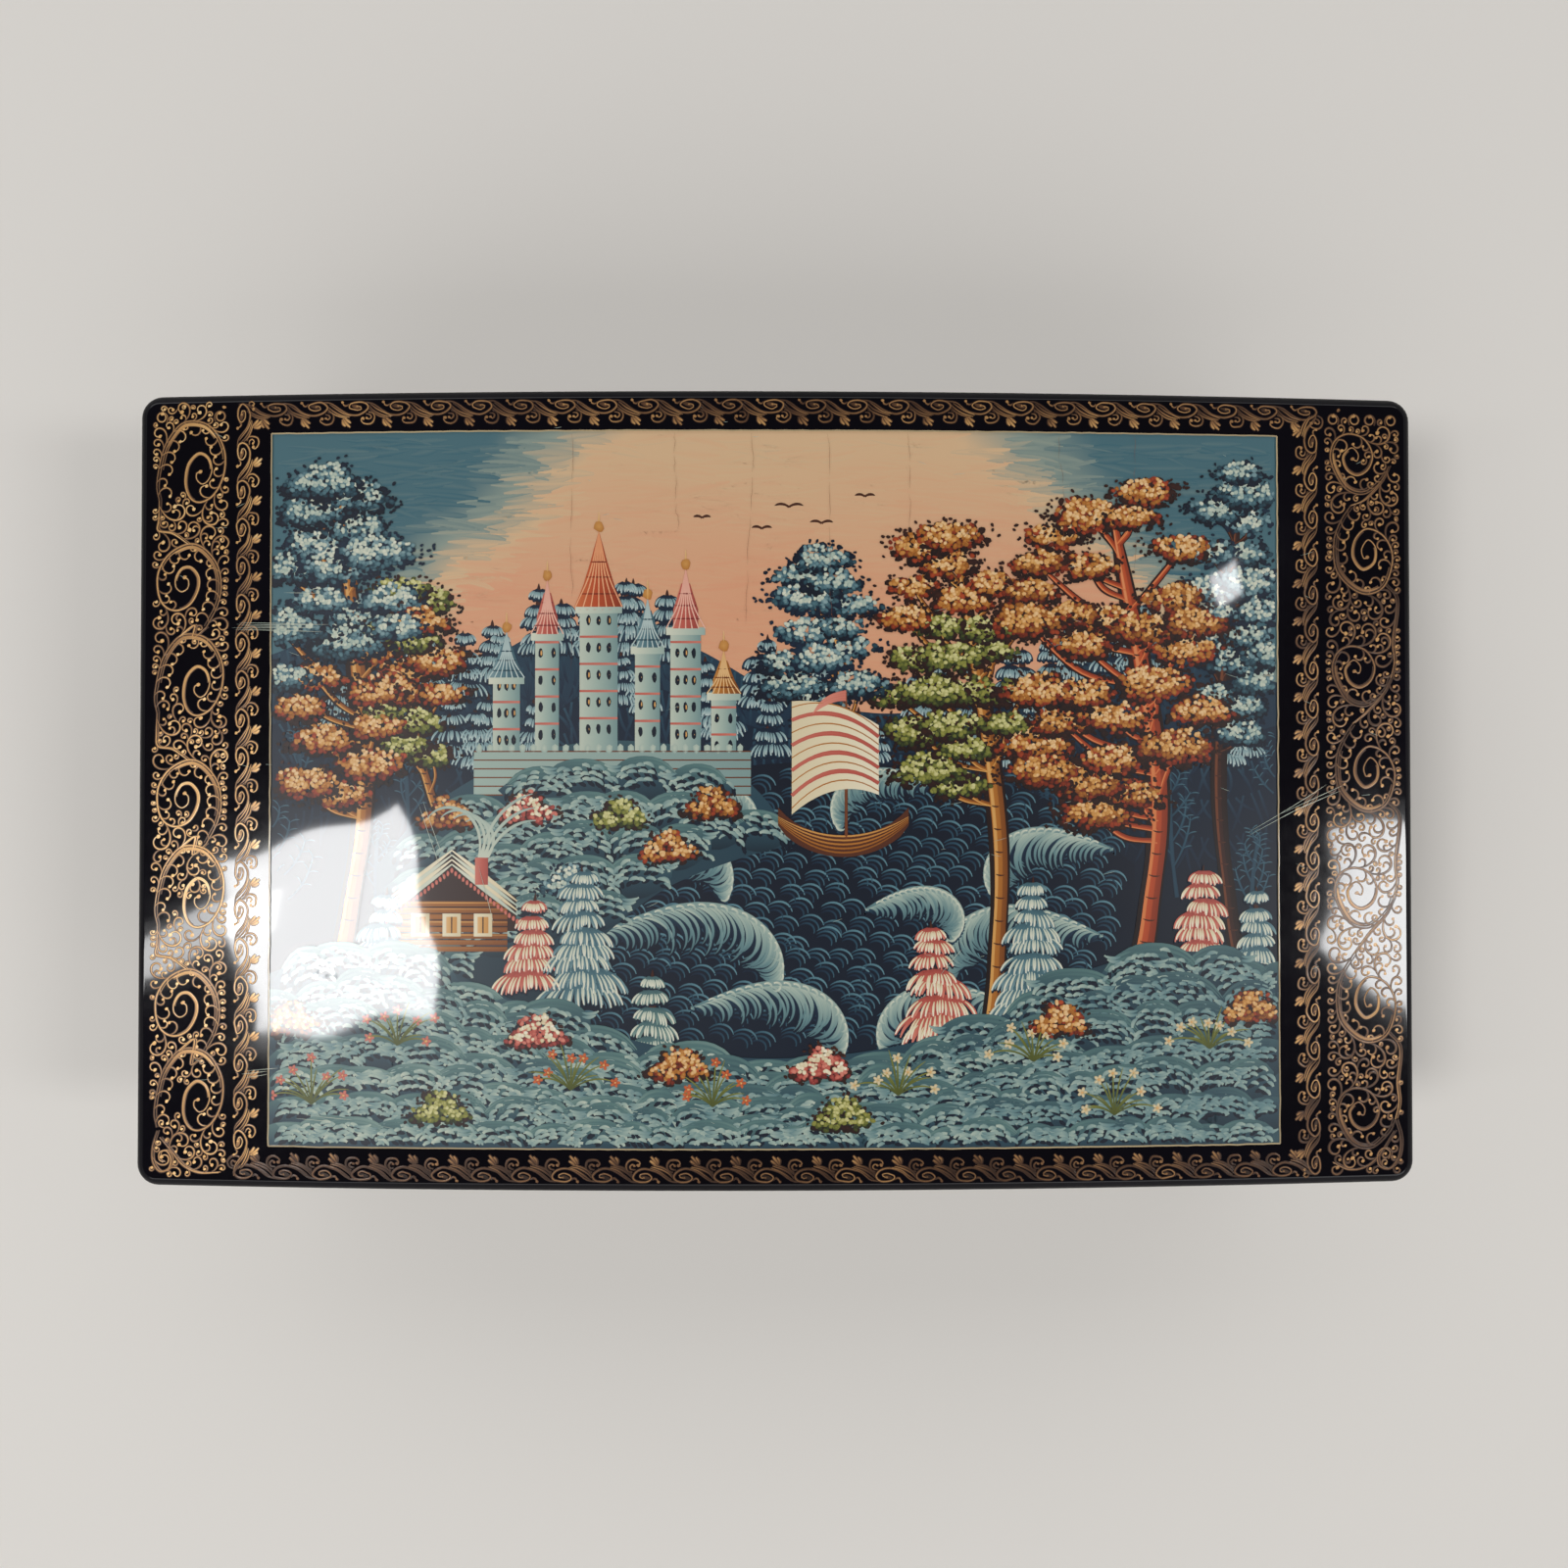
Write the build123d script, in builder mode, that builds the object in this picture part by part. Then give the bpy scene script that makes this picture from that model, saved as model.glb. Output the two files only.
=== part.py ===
"""Hinged lacquer box of papier-mache, in millimetres.

The box stands on its base board with +Z up and its front towards -Y. The origin is the centre of
the underside. The walls are a ring wound on a mandrel and sawn through at the seam, so that its
upper slice carries the arched lid panel and its lower slice the base board. An inner liner stands
proud of the seam as the lip that the lid closes over. Two brass hinges lie in a V groove along
the back of the seam, with their leaves pinned in saw cuts in the walls.
"""

from build123d import *
from math import radians, sqrt, tan
import os

# Plan of the lid panel and the base board
panel_length = 240.0
panel_depth = 148.0
panel_corner_radius = 4.2

# Lid panel, pressed to a shallow arch along its length
panel_thickness = 5.0
arch_rise = 4.5
panel_top_round = 2.0
panel_under_chamfer = 0.8

# Base board
base_thickness = 5.0
base_top_round = 2.0
base_foot_chamfer = 0.8

# Wound walls
overhang = 3.0
wall_thickness = 4.6
wall_outer_corner = 3.2
wall_inner_corner = 1.6
body_wall_height = 37.0
lid_rim_height = 8.0
seam_gap = 0.15
glue_line = 0.05

# Inner liner and its lip
liner_thickness = 2.2
lip_height = 4.0
lip_clearance = 0.4
lip_chamfer = 0.6

# V groove along the back of the seam, and the hinges that lie in it
groove_angle = 50.0
hinge_spacing = 136.0
knuckle_count = 5
knuckle_length = 5.0
knuckle_gap = 0.15
sheet_thickness = 0.6
barrel_radius = 1.5
barrel_cover = 0.15
barrel_clearance = 0.12
roll_gap = 0.12
pin_clearance = 0.03
leaf_reach = 7.0
slit_clearance = 0.05

# Brass pins that hold the leaves in the walls
rivet_radius = 0.5
rivet_clearance = 0.02
rivet_inset = 5.0
rivet_edge_distance = 2.6
rivet_cover = 0.7

# One overrun serves every cut that runs past a face
overrun = 2.0

# Heights and faces worked out from the sizes above
wall_length = panel_length - 2 * overhang
wall_depth = panel_depth - 2 * overhang
bay_length = wall_length - 2 * wall_thickness
bay_depth = wall_depth - 2 * wall_thickness
seam_height = base_thickness + body_wall_height
rim_bottom = seam_height + seam_gap
panel_edge_height = rim_bottom + lid_rim_height
panel_peak = panel_edge_height + arch_rise + panel_thickness
arch_radius = ((panel_length / 2) ** 2 + arch_rise**2) / (2 * arch_rise)

# Hinge axis and what lies round it
back_face = wall_depth / 2
axis_y = back_face - barrel_cover - barrel_radius
axis_z = seam_height + seam_gap / 2
bore_radius = barrel_radius - sheet_thickness
pocket_radius = barrel_radius + barrel_clearance
leaf_plane = axis_y - barrel_radius + sheet_thickness / 2
hinge_length = knuckle_count * knuckle_length + (knuckle_count - 1) * knuckle_gap
rivet_reach = leaf_reach - rivet_edge_distance
rivet_hole_depth = wall_thickness - rivet_cover
hinge_centres = {"left": -hinge_spacing / 2, "right": hinge_spacing / 2}
knuckle_starts = [n * (knuckle_length + knuckle_gap) - hinge_length / 2 for n in range(knuckle_count)]
rivet_offsets = [rivet_inset - hinge_length / 2, hinge_length / 2 - rivet_inset]


def arched_slab(low, high):
    """The space between two arched surfaces, low and high above the panel's underside."""
    reach = panel_length / 2 + overrun
    crest = panel_peak - panel_thickness
    spring = crest - arch_radius + sqrt(arch_radius**2 - reach**2)
    with BuildPart() as slab:
        with BuildSketch(Plane.XZ.offset(-panel_depth / 2 - overrun)):
            with BuildLine():
                ThreePointArc((-reach, spring + low), (0, crest + low), (reach, spring + low))
                Line((reach, spring + low), (reach, spring + high))
                ThreePointArc((reach, spring + high), (0, crest + high), (-reach, spring + high))
                Line((-reach, spring + high), (-reach, spring + low))
            make_face()
        extrude(amount=panel_depth + 2 * overrun)
    return slab.part


def wall_slice(low, high):
    """A slice of the wound wall ring, with the V groove along the back of the seam."""
    reach = back_face + overrun - axis_y
    rise = reach * tan(radians(groove_angle))
    with BuildPart() as ring:
        with BuildSketch(Plane.XY.offset(low)):
            RectangleRounded(wall_length, wall_depth, wall_outer_corner)
            RectangleRounded(bay_length, bay_depth, wall_inner_corner, mode=Mode.SUBTRACT)
        extrude(amount=high - low)
        with BuildSketch(Plane.YZ.offset(-panel_length / 2)):
            with BuildLine():
                Polyline(
                    (axis_y, axis_z),
                    (axis_y + reach, axis_z + rise),
                    (axis_y + reach, axis_z - rise),
                    close=True,
                )
            make_face()
        extrude(amount=panel_length, mode=Mode.SUBTRACT)
    return ring.part


def hinge_seat(middle, way):
    """What a hinge cuts from a wall slice above (way 1) or below (way -1) the seam."""
    width = hinge_length + 2 * slit_clearance
    depth = leaf_reach + slit_clearance
    with BuildPart() as seat:
        with BuildSketch(Plane.YZ.offset(middle - width / 2)):
            with Locations((axis_y, axis_z)):
                Circle(pocket_radius)
            with Locations((leaf_plane, axis_z + way * depth / 2)):
                Rectangle(sheet_thickness + 2 * slit_clearance, depth)
        extrude(amount=width)
        with BuildSketch(Plane.XZ.offset(-back_face - overrun)):
            with Locations([(middle + offset, axis_z + way * rivet_reach) for offset in rivet_offsets]):
                Circle(rivet_radius + rivet_clearance)
        extrude(amount=rivet_hole_depth + overrun)
    return seat.part


# The shapes that the two wall slices share
body_slice = wall_slice(base_thickness, seam_height)
lid_slice = wall_slice(rim_bottom, panel_peak)
body_seats = [hinge_seat(middle, -1) for middle in hinge_centres.values()]
lid_seats = [hinge_seat(middle, 1) for middle in hinge_centres.values()]
above_rim = arched_slab(-glue_line, panel_thickness + arch_rise + overrun)
panel_blank = arched_slab(0, panel_thickness)

os.makedirs("parts", exist_ok=True)

# Base board
with BuildPart() as base_board:
    with BuildSketch():
        RectangleRounded(panel_length, panel_depth, panel_corner_radius)
    extrude(amount=base_thickness)
    fillet(base_board.faces().sort_by(Axis.Z)[-1].edges(), base_top_round)
    chamfer(base_board.faces().sort_by(Axis.Z)[0].edges(), base_foot_chamfer)
base_board.part.label = "base_board"
export_step(base_board.part, "parts/base_board.step")

# Walls of the body, below the seam
with BuildPart() as wall_ring:
    add(body_slice)
    add(body_seats, mode=Mode.SUBTRACT)
wall_ring.part.label = "wall_ring"
export_step(wall_ring.part, "parts/wall_ring.step")

# Liner, glued inside the walls, whose top stands proud of the seam as the lip
liner_length = bay_length - 2 * glue_line
liner_depth = bay_depth - 2 * glue_line
with BuildPart() as inner_liner:
    with BuildSketch(Plane.XY.offset(base_thickness)):
        RectangleRounded(liner_length, liner_depth, wall_inner_corner - glue_line)
    extrude(amount=body_wall_height)
    with BuildSketch(Plane.XY.offset(seam_height)):
        RectangleRounded(
            bay_length - 2 * lip_clearance,
            bay_depth - 2 * lip_clearance,
            wall_inner_corner - lip_clearance,
        )
    extrude(amount=lip_height)
    chamfer(inner_liner.faces().sort_by(Axis.Z)[-1].edges(), lip_chamfer)
    with BuildSketch(Plane.XY.offset(base_thickness)):
        RectangleRounded(
            liner_length - 2 * liner_thickness,
            liner_depth - 2 * liner_thickness,
            wall_inner_corner / 2,
        )
    extrude(amount=body_wall_height + lip_height, mode=Mode.SUBTRACT)
inner_liner.part.label = "inner_liner"
export_step(inner_liner.part, "parts/inner_liner.step")

# Rim of the lid, above the seam, trimmed to the underside of the panel
with BuildPart() as lid_rim:
    add(lid_slice)
    add(above_rim, mode=Mode.SUBTRACT)
    add(lid_seats, mode=Mode.SUBTRACT)
lid_rim.part.label = "lid_rim"
export_step(lid_rim.part, "parts/lid_rim.step")

# Lid panel
with BuildPart() as lid_panel:
    add(panel_blank)
    with BuildSketch(Plane.XY.offset(seam_height)):
        RectangleRounded(panel_length, panel_depth, panel_corner_radius)
    extrude(amount=panel_peak + overrun - seam_height, mode=Mode.INTERSECT)
    fillet(lid_panel.faces().sort_by(Axis.Z)[-1].edges(), panel_top_round)
    chamfer(lid_panel.faces().sort_by(Axis.Z)[0].edges(), panel_under_chamfer)
lid_panel.part.label = "lid_panel"
export_step(lid_panel.part, "parts/lid_panel.step")

# Hinges, each with two leaves, their pins and the wire that they turn on
for side, middle in hinge_centres.items():
    for owner, way, own_starts in (
        ("body", -1, knuckle_starts[0::2]),
        ("lid", 1, knuckle_starts[1::2]),
    ):
        rivet_places = [(middle + offset, axis_z + way * rivet_reach) for offset in rivet_offsets]

        # A sheet in its saw cut, rolled round the wire at every second knuckle
        with BuildPart() as leaf:
            with BuildSketch(Plane.YZ.offset(middle - hinge_length / 2)):
                with Locations((leaf_plane, axis_z + way * (pocket_radius + leaf_reach) / 2)):
                    Rectangle(sheet_thickness, leaf_reach - pocket_radius)
            extrude(amount=hinge_length)
            for start in own_starts:
                with BuildSketch(Plane.YZ.offset(middle + start)):
                    with Locations((axis_y, axis_z)):
                        Circle(barrel_radius)
                        Circle(bore_radius, mode=Mode.SUBTRACT)
                    roll_end = leaf_plane + (sheet_thickness + roll_gap) / 2
                    with Locations((roll_end, axis_z + way * barrel_radius / 2)):
                        Rectangle(roll_gap, barrel_radius, mode=Mode.SUBTRACT)
                    with Locations((leaf_plane, axis_z + way * pocket_radius / 2)):
                        Rectangle(sheet_thickness, pocket_radius)
                extrude(amount=knuckle_length)
            with BuildSketch(Plane.XZ.offset(-leaf_plane - sheet_thickness)):
                with Locations(rivet_places):
                    Circle(rivet_radius + rivet_clearance)
            extrude(amount=2 * sheet_thickness, mode=Mode.SUBTRACT)
        leaf.part.label = f"{side}_hinge_{owner}_leaf"
        export_step(leaf.part, f"parts/{side}_hinge_{owner}_leaf.step")

        # Brass pins through the leaf, flush with the back face
        with BuildPart() as rivets:
            with BuildSketch(Plane.XZ.offset(-back_face)):
                with Locations(rivet_places):
                    Circle(rivet_radius)
            extrude(amount=rivet_hole_depth - rivet_clearance)
        rivets.part.label = f"{side}_hinge_{owner}_rivets"
        export_step(rivets.part, f"parts/{side}_hinge_{owner}_rivets.step")

    # The wire through both leaves
    with BuildPart() as hinge_pin:
        with BuildSketch(Plane.YZ.offset(middle - hinge_length / 2)):
            with Locations((axis_y, axis_z)):
                Circle(bore_radius - pin_clearance)
        extrude(amount=hinge_length)
    hinge_pin.part.label = f"{side}_hinge_pin"
    export_step(hinge_pin.part, f"parts/{side}_hinge_pin.step")
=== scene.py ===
"""Looks of a hinged lacquer box: black lacquer, a painted lid, gold scrollwork and brass hinges."""

import logging
import math
from dataclasses import dataclass
from enum import Enum
from typing import Callable, Protocol, Sequence

import bpy
import numpy as np
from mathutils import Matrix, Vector


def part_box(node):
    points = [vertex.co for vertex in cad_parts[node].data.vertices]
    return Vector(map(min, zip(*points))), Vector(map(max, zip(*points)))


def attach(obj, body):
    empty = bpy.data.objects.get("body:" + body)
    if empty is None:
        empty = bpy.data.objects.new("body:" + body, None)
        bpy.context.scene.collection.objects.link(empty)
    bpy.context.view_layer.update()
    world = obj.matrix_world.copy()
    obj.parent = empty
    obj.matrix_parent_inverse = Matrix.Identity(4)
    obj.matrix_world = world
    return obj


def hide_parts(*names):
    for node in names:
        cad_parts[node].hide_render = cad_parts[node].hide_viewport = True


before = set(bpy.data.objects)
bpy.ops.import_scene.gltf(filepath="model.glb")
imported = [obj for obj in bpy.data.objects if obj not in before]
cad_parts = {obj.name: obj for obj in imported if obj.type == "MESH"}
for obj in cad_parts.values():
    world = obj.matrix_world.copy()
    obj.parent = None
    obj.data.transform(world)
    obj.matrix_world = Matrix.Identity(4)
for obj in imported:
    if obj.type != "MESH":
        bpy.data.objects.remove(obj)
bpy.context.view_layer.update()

LOG = logging.getLogger("lacquer_box")
MM = 0.001
MICRON = 0.001
UP = math.pi / 2
PALETTE_MAP = "OFBake"
PALETTE_ENDS = (0.01, 0.99)
SEED = 1907
FIELD = (-94.1, -65.8, 93.3, 66.1)

Array = np.ndarray
Chance = np.random.Generator
Material = bpy.types.Material
Socket = bpy.types.NodeSocket
Pair = tuple[float, float]
Shade = Callable[[Array, Array], Array]
Four = tuple[float, float, float, float]
Stem = Sequence[tuple[int, float, float]]


# Colours and pigments


def linear(code: str) -> Four:
    """Turn a hexadecimal screen colour into a linear one.

    Args:
        code: Six hexadecimal digits.

    Returns:
        Linear red, green, blue and a full alpha.
    """
    parts = [int(code[i : i + 2], 16) / 255 for i in (0, 2, 4)]
    r, g, b = (c / 12.92 if c <= 0.04045 else ((c + 0.055) / 1.055) ** 2.4 for c in parts)
    return (r, g, b, 1.0)


class Mix(Enum):
    """Mixes of the ground pigments, each from its darkest to its lightest."""

    SKY = "10293f 3c6672 8a978c d6b48c dc9c78"
    NIGHT = "050811 0a1424 13263a 28495a 5f8792"
    PALE = "294858 668789 a1b3a7 cdd0bc ebe5d3"
    OCHRE = "220f07 6b340f ae6c28 d49c54 eccb9c"
    ORANGE = "2f0d07 7a2a12 b84c25 d67c46 eebd94"
    OLIVE = "0e120a 2e3617 62682a 979444 d6d094"
    LEAF = "0a131c 23424f 4f737c 8da7a8 d3dcd4"
    CORAL = "330e11 7e2a28 bd5a4c dc8f7a efccb6"
    UMBER = "070404 1a0c09 3a1b11 6b381e a6663a"
    MOUND = "0e1d29 294653 557674 8ea69b c8d1bd"
    CREAM = "5b4d3a a08e6e ccb78b e4d7b6 f6f0e2"
    GOLD = "1f1008 62422a a87c4d dbab69 f9dda6"

    @property
    def row(self) -> float:
        """Height of this pigment's row on the palette, from 0 to 1."""
        return (list(Mix).index(self) + 0.5) / len(Mix)

    @property
    def steps(self) -> list[Four]:
        """The linear colours from darkest to lightest."""
        return [linear(code) for code in self.value.split()]


# Node trees


class Nodes:
    """A short way to lay shader nodes into one material."""

    def __init__(self, name: str) -> None:
        """Start a material.

        Args:
            name: Name of the material.
        """
        self.material = bpy.data.materials.new(name)
        self.material.use_nodes = True
        self.tree = self.material.node_tree
        self.shader = self.tree.nodes["Principled BSDF"]

    def add(self, kind: str, **links: object) -> bpy.types.Node:
        """Add a node, with sockets or settings by name.

        Args:
            kind: Node type without its "ShaderNode" prefix.
            **links: Settings of the node, then what to feed to its sockets, i0 being the first.

        Returns:
            The new node.
        """
        node = self.tree.nodes.new("ShaderNode" + kind)
        for key, value in links.items():
            if hasattr(node, key):
                setattr(node, key, value)
            else:
                self.feed(node.inputs[int(key[1:]) if key[1:].isdigit() else key], value)
        return node

    def feed(self, socket: Socket, value: object) -> None:
        """Link an output to a socket, or set the socket's value.

        Args:
            socket: The input to feed.
            value: An output socket, a number, a colour or a vector.
        """
        if isinstance(value, Socket):
            self.tree.links.new(value, socket)
        else:
            socket.default_value = value

    def math(self, operation: str, a: object, b: object = 0.0, clamp: bool = False) -> Socket:
        """Add a Math node and return its output."""
        return self.add("Math", operation=operation, use_clamp=clamp, i0=a, i1=b).outputs[0]

    def mix(self, share: object, a: object, b: object) -> Socket:
        """Mix two colours by a share and return the colour."""
        return self.add("MixRGB", i0=share, i1=a, i2=b).outputs[0]

    def ramp(self, share: object, stops: Sequence[tuple[float, tuple]]) -> Socket:
        """Add a colour ramp.

        Args:
            share: What runs along the ramp.
            stops: Places and linear colours.

        Returns:
            The ramp's colour.
        """
        node = self.add("ValToRGB", i0=share)
        marks = node.color_ramp.elements
        while len(marks) < len(stops):
            marks.new(0.5)
        for mark, (place, colour) in zip(marks, stops):
            mark.position = place
            mark.color = colour
        return node.outputs[0]

    def noise(self, scale: float, detail: float = 3.0, roughness: float = 0.5) -> Socket:
        """Noise in the piece's own space, by features to the metre."""
        place = self.add("TexCoord").outputs["Object"]
        return self.add("TexNoise", Vector=place, Scale=scale, Detail=detail, Roughness=roughness).outputs[0]

    def set(self, **values: object) -> None:
        """Set or link sockets of the shader, with spaces in their names as underscores."""
        for key, value in values.items():
            self.feed(self.shader.inputs[key.replace("_", " ")], value)

    def bump(self, height: object, strength: float, distance: float) -> Socket:
        """Add a bump node and return its normal."""
        return self.add("Bump", Height=height, Strength=strength, Distance=distance).outputs[0]


@dataclass(frozen=True)
class LacquerFinish:
    """Many coats of rubbed lacquer, worn where they are thin, with handling marks in the gloss.

    A piece with an inside takes that colour within the reach, half sizes of its room in metres.
    """

    name: str
    deep: str
    worn: str
    inside: str | None = None
    reach: Pair = (0.0, 0.0)
    least: float = 0.05
    coat: float = 0.8

    def material(self) -> Material:
        """Build the material.

        Returns:
            A glossy two-coat material, two-toned where the piece has an inside.
        """
        n = Nodes(self.name)
        cloud = n.noise(38.0, 4.0, 0.6)
        share = n.math("MULTIPLY", n.math("SUBTRACT", cloud, 0.42), 3.0, clamp=True)
        colour = n.mix(share, linear(self.deep), linear(self.worn))
        if self.inside:
            place = n.add("SeparateXYZ", Vector=n.add("TexCoord").outputs["Object"])
            across = n.math("LESS_THAN", n.math("ABSOLUTE", place.outputs[0]), self.reach[0])
            along = n.math("LESS_THAN", n.math("ABSOLUTE", place.outputs[1]), self.reach[1])
            above = n.math("GREATER_THAN", place.outputs[2], 0.002)
            room = n.math("MULTIPLY", n.math("MULTIPLY", across, along), above)
            colour = n.mix(room, colour, n.mix(share, linear(self.inside), linear("6d0f0c")))
        rub = n.noise(420.0, 2.0, 0.7)
        rough = n.math("ADD", n.math("MULTIPLY", rub, 0.1), self.least)
        n.set(Base_Color=colour, Roughness=rough, IOR=1.45, Specular_IOR_Level=0.15)
        n.set(Coat_Weight=self.coat, Coat_Roughness=0.045)
        n.set(Normal=n.bump(n.noise(95.0, 2.0, 0.4), 0.1, 0.0006))
        return n.material


@dataclass(frozen=True)
class PaintFinish:
    """Tempera or ground gold under a hazy coat of lacquer, coloured from each mark's place on the palette."""

    name: str = "tempera_under_lacquer"
    metal: float = 0.0
    coat: float = 0.8
    haze: float = 0.04

    def material(self) -> Material:
        """Build the material.

        Returns:
            A material whose colours are one ramp for each pigment's row.
        """
        n = Nodes(self.name)
        place = n.add("SeparateXYZ", Vector=n.add("UVMap", uv_map=PALETTE_MAP).outputs[0])
        colour: object = (0.0, 0.0, 0.0, 1.0)
        for index, pigment in enumerate(Mix):
            own = n.ramp(place.outputs[0], [(i / 4, mix) for i, mix in enumerate(pigment.steps)])
            above = n.math("GREATER_THAN", place.outputs[1], index / len(Mix))
            colour = n.mix(above, colour, own) if index else own
        n.set(Base_Color=colour, Metallic=self.metal, Roughness=0.42, IOR=1.45)
        n.set(Coat_Weight=self.coat, Coat_Roughness=self.haze)
        return n.material


@dataclass(frozen=True)
class MetalFinish:
    """Rolled sheet or drawn wire, bright where it is rubbed and dull where it is tarnished."""

    name: str
    bright: str
    dull: str
    roughness: float

    def material(self) -> Material:
        """Build the material.

        Returns:
            A metal with tarnish patches and fine drawing lines.
        """
        n = Nodes(self.name)
        patches = n.math("MULTIPLY", n.noise(650.0, 5.0, 0.65), 1.3, clamp=True)
        place = n.add("TexCoord").outputs["Object"]
        lines = n.add("TexWave", Vector=place, Scale=2600.0, Distortion=3.0, Detail=2.0).outputs[1]
        rough = n.math("ADD", n.math("MULTIPLY", patches, 0.25), self.roughness)
        n.set(Base_Color=n.mix(patches, linear(self.bright), linear(self.dull)), Metallic=1.0, Roughness=rough)
        n.set(Normal=n.bump(lines, 0.15, 0.00003))
        return n.material


@dataclass(frozen=True)
class FloorFinish:
    """A plain pale floor that stays as pale as it is seen."""

    name: str = "pale_floor"
    colour: str = "ebe7e1"

    def material(self) -> Material:
        """Build the material.

        Returns:
            A matte material of one colour.
        """
        n = Nodes(self.name)
        n.set(Base_Color=linear(self.colour), Roughness=0.75, Specular_IOR_Level=0.2)
        return n.material


def add_piece(name: str, mesh: bpy.types.Mesh, materials: Sequence[Material], body: str) -> bpy.types.Object:
    """Put a lacquered piece into the scene.

    Args:
        name: Name of the piece.
        mesh: Its mesh.
        materials: Its materials.
        body: Body that it rides on.

    Returns:
        The piece.
    """
    for material in materials:
        mesh.materials.append(material)
    piece = bpy.data.objects.new(name, mesh)
    bpy.context.scene.collection.objects.link(piece)
    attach(piece, body)
    LOG.info("%s: %d faces", name, len(mesh.polygons))
    return piece


# Surfaces that take strokes


class Ground(Protocol):
    """A surface with flat coordinates in millimetres."""

    def place(self, flat: Array, height: Array) -> Array:
        """Points in metres for flat coordinates and a height above the surface in millimetres."""
        ...

    def normals(self, flat: Array) -> Array:
        """Unit normals at flat coordinates."""
        ...


@dataclass(frozen=True)
class ArchedTop:
    """The top of the lid panel, a cylinder that lies along Y, under lacquer rubbed a little wavy.

    Attributes:
        radius: Radius of the arch in millimetres.
        peak: Height of its crest in millimetres.
        wave: Greatest slope of the waves that rubbing leaves.
    """

    radius: float
    peak: float
    wave: float = 0.009

    def heights(self, x: Array) -> Array:
        """Height of the surface at a distance from the middle, in millimetres."""
        return self.peak - self.radius + np.sqrt(self.radius**2 - x**2)

    def place(self, flat: Array, height: Array) -> Array:
        """Points in metres on or above the arch."""
        base = np.column_stack([flat, self.heights(flat[:, 0])])
        return (base + self.normals(flat) * height[:, None]) * MM

    def normals(self, flat: Array) -> Array:
        """Work out which way the waved arch faces.

        Args:
            flat: Coordinates in millimetres.

        Returns:
            A unit normal for each point.
        """
        x, y = flat[:, 0], flat[:, 1]
        lean = x / self.radius + self.wave * (np.sin(0.11 * x + 0.05 * y + 1) + 0.4 * np.sin(0.06 * x - 0.27 * y))
        tip = self.wave * (np.cos(0.1 * y - 0.07 * x) + 0.4 * np.sin(0.25 * x + 0.1 * y + 2))
        return np.stack([lean, tip, np.sqrt(1 - lean**2 - tip**2)], axis=1)


@dataclass(frozen=True)
class WallFace:
    """A flat upright face of the walls.

    Attributes:
        origin: Middle of the face in millimetres.
        along: Unit direction of the flat x coordinate.
        out: Unit outward normal.
    """

    origin: tuple[float, float, float]
    along: tuple[float, float, float]
    out: tuple[float, float, float]

    def place(self, flat: Array, height: Array) -> Array:
        """Points in metres on or before the face."""
        spot = self.origin + flat[:, :1] * self.along + flat[:, 1:] * (0.0, 0.0, 1.0)
        return (spot + height[:, None] * self.out) * MM

    def normals(self, flat: Array) -> Array:
        """The face's normal, once for each point."""
        return np.tile(self.out, (len(flat), 1))


# Brushwork


def blend(start: float, at: Pair = (0.0, 0.0), across: float = 0.0, up: float = 0.0) -> Shade:
    """A shade that changes by so much for each millimetre to the right of a point and above it."""
    return lambda x, y: start + across * (x - at[0]) + up * (y - at[1])


def grid(*shape: int) -> Array:
    """The corners of every cell of a grid of numbered points, or of many grids one after another."""
    first = np.arange(math.prod(shape)).reshape(shape)[..., :-1, :-1]
    return np.stack([first, first + shape[-1], first + shape[-1] + 1, first + 1], axis=-1).reshape(-1, 4)


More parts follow.
